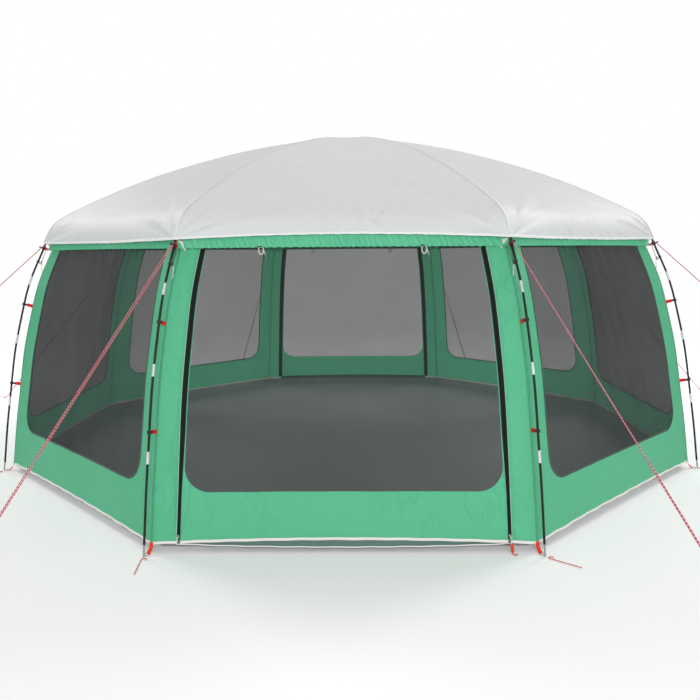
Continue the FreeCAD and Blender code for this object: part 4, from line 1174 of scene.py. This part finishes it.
def corner_elastic(sheet, corner):
    """Doubled elastic down from the eave hook to a small hook and collar on the leg."""
    out, side = outward(corner_angle(corner)), sideways(corner_angle(corner))
    leg = leg_place(corner, GRIP_Z)
    grip = grip_point(corner)
    high = leg_place(corner, HOOK_Z).path((-0.0150, 0.0, -0.004))
    for way in (-1, 1):
        line = smooth_path([
            high + side * way * 0.0022,
            high * 0.66 + grip * 0.34 + side * way * 0.0046 - out * 0.003,
            high * 0.30 + grip * 0.70 + side * way * 0.0040 - out * 0.002,
            grip + side * way * 0.0010], 30)
        sheet.tube(line, radius=0.0017, sides=8)
    hook = smooth_path([(-0.0235, 0, 0.008), (-0.0262, 0, 0.0), (-0.0225, 0, -0.009),
                        (-0.0155, 0, -0.0085), (-0.0095, 0, -0.0030)], 26)
    sheet.tube(leg.path(hook), radius=0.0025, sides=8)
    turn = np.linspace(0, 4 * math.pi, 50)
    knot = Place(grip, out, side, UP).path(
        points(0.0034 * np.sin(turn), 0.0034 * np.cos(turn), 0.0011 * turn - 0.004))
    sheet.tube(knot, radius=0.0017, sides=7)
    # radius, height of the collar's rings, the last one closing it
    radius, z = np.array([
        (0.0070, -0.006), (0.0092, -0.0058), (0.0100, -0.004), (0.0100, 0.004),
        (0.0092, 0.0058), (0.0070, 0.006), (0.0070, -0.006)]).T[..., None]
    around = circle(28)
    sheet.grid(leg.path(points(radius * np.cos(around), radius * np.sin(around), z)),
               closed=True)


def elastic_tail(sheet, corner):
    """Two cord ends hanging plumb from the grip, each with a knotted tip."""
    hang = Place(grip_point(corner), outward(corner_angle(corner)),
                 sideways(corner_angle(corner)), UP)
    for aside, length in ((0.0, 0.074), (0.0032, 0.058)):
        line = smooth_path([(0, aside, -0.004), (-0.002, aside + 0.002, -length * 0.35),
                            (-0.001, aside - 0.001, -length * 0.7),
                            (0, aside * 0.5, -length)], 26)
        taper = np.concatenate([np.ones(len(line) - 4), [1.15, 1.25, 1.0, 0.5]])
        sheet.tube(hang.path(line), radius=0.0021, sides=8, taper=taper)


# side each gusset turns to: 1 is counter-clockwise from above
GUSSET_SIDE = (1, -1, -1, 1, 1, -1, -1, 1)


def gusset(sheet, corner):
    """Pale triangle from the wall's top corner out to the hook, narrowing downwards."""
    out = outward(corner_angle(corner))
    side = sideways(corner_angle(corner)) * GUSSET_SIDE[corner]
    along = side * COS_HALF - out * SIN_HALF
    face = out * COS_HALF + side * SIN_HALF
    fall = np.linspace(0, 1, 16)[:, None, None]
    reach = np.linspace(0, 1, 14)[:, None]
    z = 1.6165 - 0.0565 * fall
    hook = out * (float(leg_r(1.616)) - 0.0135) + side * 0.0025
    inner = out * wall_r(z) + along * 0.030 + face * 0.0072
    outer = hook + (inner - hook) * fall ** 0.92
    bulge = 0.0030 * np.sin(math.pi * reach) * np.sin(2.4 * fall + corner) * (1 - fall)
    place = inner + (outer - inner) * reach + along * bulge
    place[..., 2] = (z + 0.003 * reach * (1 - fall))[..., 0]
    uv = np.concatenate(np.broadcast_arrays(reach * 0.06 * (1 - fall), z), -1)
    sheet.grid(place, uv)


# builder, object name, material, fabric slot, part replaced, thickness added
CORNER_PARTS = [
    (corner_tabs, "webbing_tabs", "red", "red_webbing", "wall_tabs", 0.0),
    (base_strap, "corner_straps", "orange", "orange_webbing", "base_straps", 0.0),
    (corner_elastic, "elastic_hooks", "black_cord", "cord_black", "corner_elastics", 0.0),
    (elastic_tail, "cord_tails", "white_cord", "white_cord", "elastic_tails", 0.0),
    (gusset, "corner_gussets", "reflect", "reflective", "reflective_patches", CLOTH_THICK),
]
for build, name, look, slot, replaced, thick in CORNER_PARTS:
    sheet = Sheet()
    for corner in range(8):
        build(sheet, corner)
    sheet.make(name, look, slot=slot, replaces=[replaced], thick=thick)

# ------------------------------------------------------------------ guy lines and tensioners
GUY_NAMES = ["front_left", "front_right", "right_front", "right_back",
             "back_right", "back_left", "left_back", "left_front"]
JOINTS = {joint["name"]: joint for joint in frame["joints"]}
GUY_SPLIT = 1.330                           # from the cord's top to the tensioner's centre
GUY_END_Z = 0.0052
KNOB_X = 0.012 + 0.020 * 0.30               # the loop on the hook's knob, out from the leg


def guy_cord(sheet, corner, guy):
    """Cord from the knob to the ground along guy.out, doubled below the tensioner; at the
    front left corner it is thinner and doubled all the way."""
    double = corner == 0
    top = guy.origin - guy.out * GUY_SPLIT
    length = (top[2] - GUY_END_Z) / -guy.out[2]
    from_top = Place(top, guy.out, guy.side, guy.up)
    run = np.linspace(0, length, 70)
    droop = -0.0016 * np.sin(np.pi * np.clip(run / GUY_SPLIT, 0, 1))
    for way in (-1, 1):
        if double:
            line = points(run, way * (0.0026 + 0.0056 * (1 - run / length)), droop * 0.5)
        else:
            line = points(run, way * 0.0024 * np.clip((run - GUY_SPLIT) / 0.02, 0, 1), droop)
            if way > 0:
                line = line[run >= GUY_SPLIT - 0.02]
        sheet.tube(from_top.path(line), radius=0.0024 if double else 0.0029, sides=9)

    # loop round the knob, two short strands and a small knot
    leg = leg_place(corner, HOOK_Z)
    turn = np.linspace(0.25, 2 * math.pi - 0.25, 30)
    loop = points(KNOB_X + 0.0012 * np.sin(turn), 0.0056 * np.sin(turn),
                  0.0056 * np.cos(turn + math.pi))
    sheet.tube(leg.path(loop), radius=0.0018, sides=8)
    base = leg.path((KNOB_X, 0, -0.0062))
    for way in (-1, 1):
        side = guy.side * way
        strand = smooth_path([base + side * 0.0015, (base + top) / 2 + side * 0.0022,
                              top + side * 0.0018, top + guy.out * 0.010], 20)
        sheet.tube(strand, radius=0.0018, sides=8)
    turn = np.linspace(0, 4 * math.pi, 60)
    knot = points(0.004 + 0.0010 * turn, 0.0028 * np.cos(turn), 0.0028 * np.sin(turn))
    sheet.tube(from_top.path(knot), radius=0.0015, sides=7)


def tensioner(name, guy):
    """Flat bar with rounded ends and two rimmed eyes, riding on its own body."""
    sheet = Sheet()
    # height, size of each ring
    z, size = np.array([(-0.0034, 0.90), (-0.0026, 0.98), (-0.0012, 1.0),
                        (0.0012, 1.0), (0.0026, 0.98), (0.0034, 0.90)]).T[..., None]
    angles = circle(48)
    cosine = np.cos(angles)
    waist = 1 - 0.16 * np.cos(2 * angles) ** 2 * np.abs(cosine)
    x = signed_power(cosine, 0.55) * 0.0168 * size
    y = signed_power(np.sin(angles), 0.62) * 0.0078 * size * waist
    sheet.grid(guy.path(points(x, y, z)), closed=True, capped=True)
    turn = np.linspace(0, 2 * math.pi, 25)
    for eye_x in (-0.0105, 0.0105):
        rim = points(eye_x + 0.0031 * np.cos(turn), 0.0031 * np.sin(turn), 0.0036)
        sheet.tube(guy.path(rim), radius=0.0008, sides=6, capped=False)
    sheet.make("tensioner_" + name, "grey_plastic", body="guy_tensioner_" + name,
               slot="black_plastic", replaces=["guy_tensioner_" + name])


cords = Sheet()
for corner, name in enumerate(GUY_NAMES):
    low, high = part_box("guy_tensioner_" + name)
    along = unit(np.array(JOINTS["guy_tension_" + name]["axis"]))
    side = sideways(corner_angle(corner))
    normal = np.cross(along, side)
    guy = Place(np.array((low + high) / 2), along, side, normal * np.sign(normal[2]))
    guy_cord(cords, corner, guy)
    tensioner(name, guy)
cords.make("guy_cords", "guy", slot="guy_cord", replaces=["guy_lines"])


# ------------------------------------------------------------------ door toggles
def toggle(loops, bars, panel, y):
    """Cord loop and hanging end, with a bar and a short strap; y is across the panel."""
    face = Place(np.zeros(3), outward(mid_angle(panel)), sideways(mid_angle(panel)), UP)
    x = float(wall_r(1.590)) * COS_HALF
    loop = smooth_path([
        (x + 0.008, y - 0.009, 1.590), (x + 0.012, y - 0.0125, 1.570),
        (x + 0.016, y - 0.011, 1.552), (x + 0.017, y, 1.541), (x + 0.016, y + 0.011, 1.552),
        (x + 0.012, y + 0.0125, 1.570), (x + 0.008, y + 0.009, 1.590)], 60)
    loops.tube(face.path(loop), radius=0.0034, sides=9)
    hang = smooth_path([(x + 0.010, y + 0.006, 1.585), (x + 0.015, y + 0.016, 1.560),
                        (x + 0.017, y + 0.024, 1.536), (x + 0.020, y + 0.027, 1.515)], 30)
    loops.tube(face.path(hang), radius=0.0022, sides=8)
    reach = np.linspace(-0.017, 0.017, 24)
    bar = points(x + 0.0135, y + reach, 1.5835 + 0.002 * np.cos(reach * 120))
    bars.tube(face.path(bar), radius=0.0034, sides=12,
              taper=1.0 + 0.18 * np.abs(np.linspace(-1, 1, 24)) ** 3)
    z = np.linspace(1.612, 1.580, 12)
    strap = points(x + 0.0070 + 0.004 * (1.612 - z) / 0.03, y, z)
    bars.ribbon(face.path(strap), face.side, width=0.018, thick=0.0014, slot=1)


loops, bars = Sheet(), Sheet()
for panel in DOORS:
    for y in (-0.437, 0.437):
        toggle(loops, bars, panel, y)
loops.make("toggle_loops", "white_cord", slot="toggle_white", replaces=["door_toggles"])
bars.make("toggle_bars", "plastic", "binding_white", slot="black_plastic")

# small hooked peg and its loop at each door's right foot, seen from outside
pegs, loops = Sheet(), Sheet()
for panel in DOORS:
    angle = mid_angle(panel)
    foot = Place(wall_point(panel, 1 - DOOR + 0.004, 0.047, arched=False),
                 outward(angle), sideways(angle), UP)
    loop = smooth_path([(0.004, 0, -0.002), (0.012, 0, -0.014), (0.024, 0, -0.026),
                        (0.030, 0, -0.0385)], 24)
    loops.ribbon(foot.path(loop), foot.side, width=0.016, thick=0.0016)
    peg = smooth_path([(0.020, -0.006, -0.022), (0.031, -0.003, -0.034),
                       (0.040, 0.003, -0.0430), (0.050, 0.014, -0.0430),
                       (0.052, 0.022, -0.036)], 40)
    pegs.tube(foot.path(peg), radius=0.0030, sides=10)
pegs.make("door_foot_pegs", "peg", slot="peg_red")
loops.make("door_foot_loops", "orange", slot="orange_webbing")

# ------------------------------------------------------------------ zip sliders and pulls
SLIDER_Z, SLIDER_LEAN = 0.084, math.radians(7.416)
SLIDER_HALF_WIDTH, SLIDER_HALF_HEIGHT = 0.0066, 0.0112


def slider(label, place):
    """Rounded slider body, wider below, with a bridge for the pull."""
    sheet = Sheet()
    # distance out, size of each ring
    x, size = np.array([(0.0026, 0.86), (0.0034, 0.97), (0.0052, 1.0), (0.0064, 0.90),
                        (0.0070, 0.70)]).T[..., None]
    angles = circle(40)
    y = signed_power(np.cos(angles), 0.7) * SLIDER_HALF_WIDTH * size
    z = signed_power(np.sin(angles), 0.8) * SLIDER_HALF_HEIGHT * size
    y = y * (1.0 - 0.22 * z / SLIDER_HALF_HEIGHT)
    sheet.grid(place.path(points(x, y, z)), closed=True, capped=True)
    bridge = smooth_path([(0.0066, 0, 0.0070), (0.0095, 0, 0.0050), (0.0102, 0, 0.0),
                          (0.0098, 0, -0.0030), (0.0068, 0, -0.0050)], 24)
    sheet.tube(place.path(bridge), radius=0.0013, sides=8)
    body = "%s_zip_slider_%s" % label
    sheet.make("%s_slider_%s" % label, "steel", body=body, slot="steel", replaces=[body])


def pull(label, place):
    """Doubled cord with a small knob at its end."""
    sheet = Sheet()
    cord = smooth_path([(0.0104, 0.0004, 0.0018), (0.0118, 0.0020, -0.004),
                        (0.0124, 0.0032, -0.018), (0.0120, 0.0016, -0.030)], 30)
    for way in (-1, 1):
        sheet.tube(place.path(cord * (1, way, 1)), radius=0.0014, sides=8)
    knob = points(0.0120, 0.0, np.linspace(-0.026, -0.0405, 14))
    sheet.tube(place.path(knob), radius=0.0027, sides=12,
               taper=[0.5, 0.8, 0.95, 1, 1, 1, 1, 1.02, 1.06, 1.1, 1.12, 1.08, 0.9, 0.5])
    body = "%s_zip_pull_%s" % label
    sheet.make("%s_pull_cord_%s" % label, "white_cord", body=body, slot="white_cord",
               replaces=[body])


for panel, name in DOORS.items():
    for hand in ("left", "right"):          # left is -X at both doors
        share = DOOR if (hand == "left") == (name == "front") else 1 - DOOR
        origin = wall_point(panel, share, SLIDER_Z, arched=False)
        place = leaning_place(origin, math.atan2(origin[1], origin[0]), SLIDER_LEAN)
        slider((name, hand), place)
        pull((name, hand), place)

# ------------------------------------------------------------------ finish of the frame's own parts
FINISH = {
    "pole_ferrules": "ferrule", "shoulder_elbows": "elbow", "foot_tips": "steel",
    "foot_ring_pins": "steel", "pole_clips": "plastic", "eave_hooks": "plastic",
    "ground_pegs": "peg", "shock_cords": "black_cord", "arch_pole_1": "pole",
    "arch_pole_2": "pole", "arch_pole_3": "pole", "arch_pole_4": "pole",
}
for name, look in FINISH.items():
    for slot in frame["nodes"][name].material_slots:
        slot.link = "OBJECT"
        slot.material = MATERIALS[look]


# ------------------------------------------------------------------ studio floor
def studio_floor_material():
    """Matt near-white floor that fades into plain white away from the product."""
    tree = Nodes(bpy.data.materials.new("studio_floor"))
    obj = tree.object_coords()
    tint = tree.mix(tree.noise(obj, scale=2.0), (0.90, 0.90, 0.90, 1), (0.92, 0.92, 0.92, 1))
    matt = tree.add("BsdfPrincipled", {"Base Color": tint, "Roughness": 0.9,
                                       "Specular IOR Level": 0.1})
    near = tree.add("AddShader", {0: matt, 1: tree.add("Emission", {"Strength": 0.12})})
    away = tree.add("VectorMath", {0: obj}, "Value", operation="LENGTH")
    fade = tree.add("MapRange", {"Value": away, "From Min": 3.2, "From Max": 9.0},
                    interpolation_type="SMOOTHSTEP")
    # full white to the camera, dimmer as a source of light
    camera_ray = tree.add("LightPath", output="Is Camera Ray")
    strength = tree.math("ADD", 0.45, tree.math("MULTIPLY", camera_ray, 0.55))
    white = tree.add("Emission", {"Color": (1, 1, 1, 1), "Strength": strength})
    return tree.finish(tree.mix_shader(fade, near, white))


def studio_floor(half=80.0, z=-0.002):
    material = studio_floor_material()
    mesh = bpy.data.meshes.new("studio_floor")
    mesh.from_pydata([(-half, -half, z), (half, -half, z), (half, half, z), (-half, half, z)],
                     [], [(0, 1, 2, 3)])
    thing = bpy.data.objects.new("studio_floor", mesh)
    bpy.context.scene.collection.objects.link(thing)
    mesh.materials.append(material)


studio_floor()


# ------------------------------------------------------------------ light
def studio_world(base, front, top):
    """Plain white to the camera; as light, a base level plus more from -Y and above."""
    tree = Nodes(bpy.data.worlds.new("studio"), "OutputWorld")
    axes = tree.split(tree.add("TexCoord", output="Generated"))
    ahead = tree.math("MAXIMUM", tree.math("MULTIPLY", axes[1], -1.0), 0.0)
    ahead = tree.math("MULTIPLY", tree.math("POWER", ahead, 2.0), front)
    above = tree.math("POWER", tree.math("MAXIMUM", axes[2], 0.0), 1.5)
    above = tree.math("MULTIPLY", above, top)
    level = tree.math("ADD", tree.math("ADD", ahead, above), base)
    # rays passed through a surface count for nothing here: raise the 0 to show them white
    rays = tree.node("LightPath").outputs
    seen = tree.math("MAXIMUM", rays["Is Camera Ray"],
                     tree.math("MULTIPLY", rays["Is Transmission Ray"], 0.0))
    white = (1.0, 1.0, 1.0, 1)
    lit = tree.add("Background", {0: white, 1: level})
    plain = tree.add("Background", {0: white, 1: 1.0})
    return tree.finish(tree.mix_shader(seen, lit, plain))


bpy.context.scene.world = studio_world(base=0.235, front=0.50, top=0.40)

# name, place, point aimed at, size in metres, power in watts
AREA_LIGHTS = [
    ("overhead", (1.5, 5.0, 10.5), (0, 0, 1.6), 7.0, 90),
    ("rear_left", (-9.0, 5.0, 8.0), (-0.8, -0.5, 1.9), 4.5, 560),
    ("rear_right", (9.0, 5.0, 8.0), (0.8, -0.5, 1.9), 4.5, 620),
    ("front", (1.2, -12.0, 3.4), (0, 0, 1.0), 3.5, 425),
    ("rear", (3.0, 11.0, 3.5), (0, 0, 1.2), 4.0, 160),
]
for name, location, target, size, power in AREA_LIGHTS:
    light = bpy.data.lights.new(name, "AREA")
    light.energy, light.size = power, size
    lamp = bpy.data.objects.new(name, light)
    lamp.location = location
    aim = Vector(target) - Vector(location)
    lamp.rotation_euler = aim.to_track_quat("-Z", "Y").to_euler()
    bpy.context.scene.collection.objects.link(lamp)

# ------------------------------------------------------------------ camera
CAMERA_PLACE = (0.095, -5.925, 1.557)
CAMERA_TURN, CAMERA_DOWN, CAMERA_ROLL = [math.radians(d) for d in (0.89, 8.0, -0.45)]

lens = bpy.data.cameras.new("camera")
lens.sensor_width = 36
lens.lens = 36.241714
lens.clip_end = 200
camera = bpy.data.objects.new("camera", lens)
bpy.context.scene.collection.objects.link(camera)
camera.matrix_world = (Matrix.Translation(CAMERA_PLACE)
                       @ Matrix.Rotation(CAMERA_TURN, 4, "Z")
                       @ Matrix.Rotation(math.pi / 2 - CAMERA_DOWN, 4, "X")
                       @ Matrix.Rotation(CAMERA_ROLL, 4, "Z"))
bpy.context.scene.camera = camera
bpy.context.scene.view_settings.view_transform = "Standard"
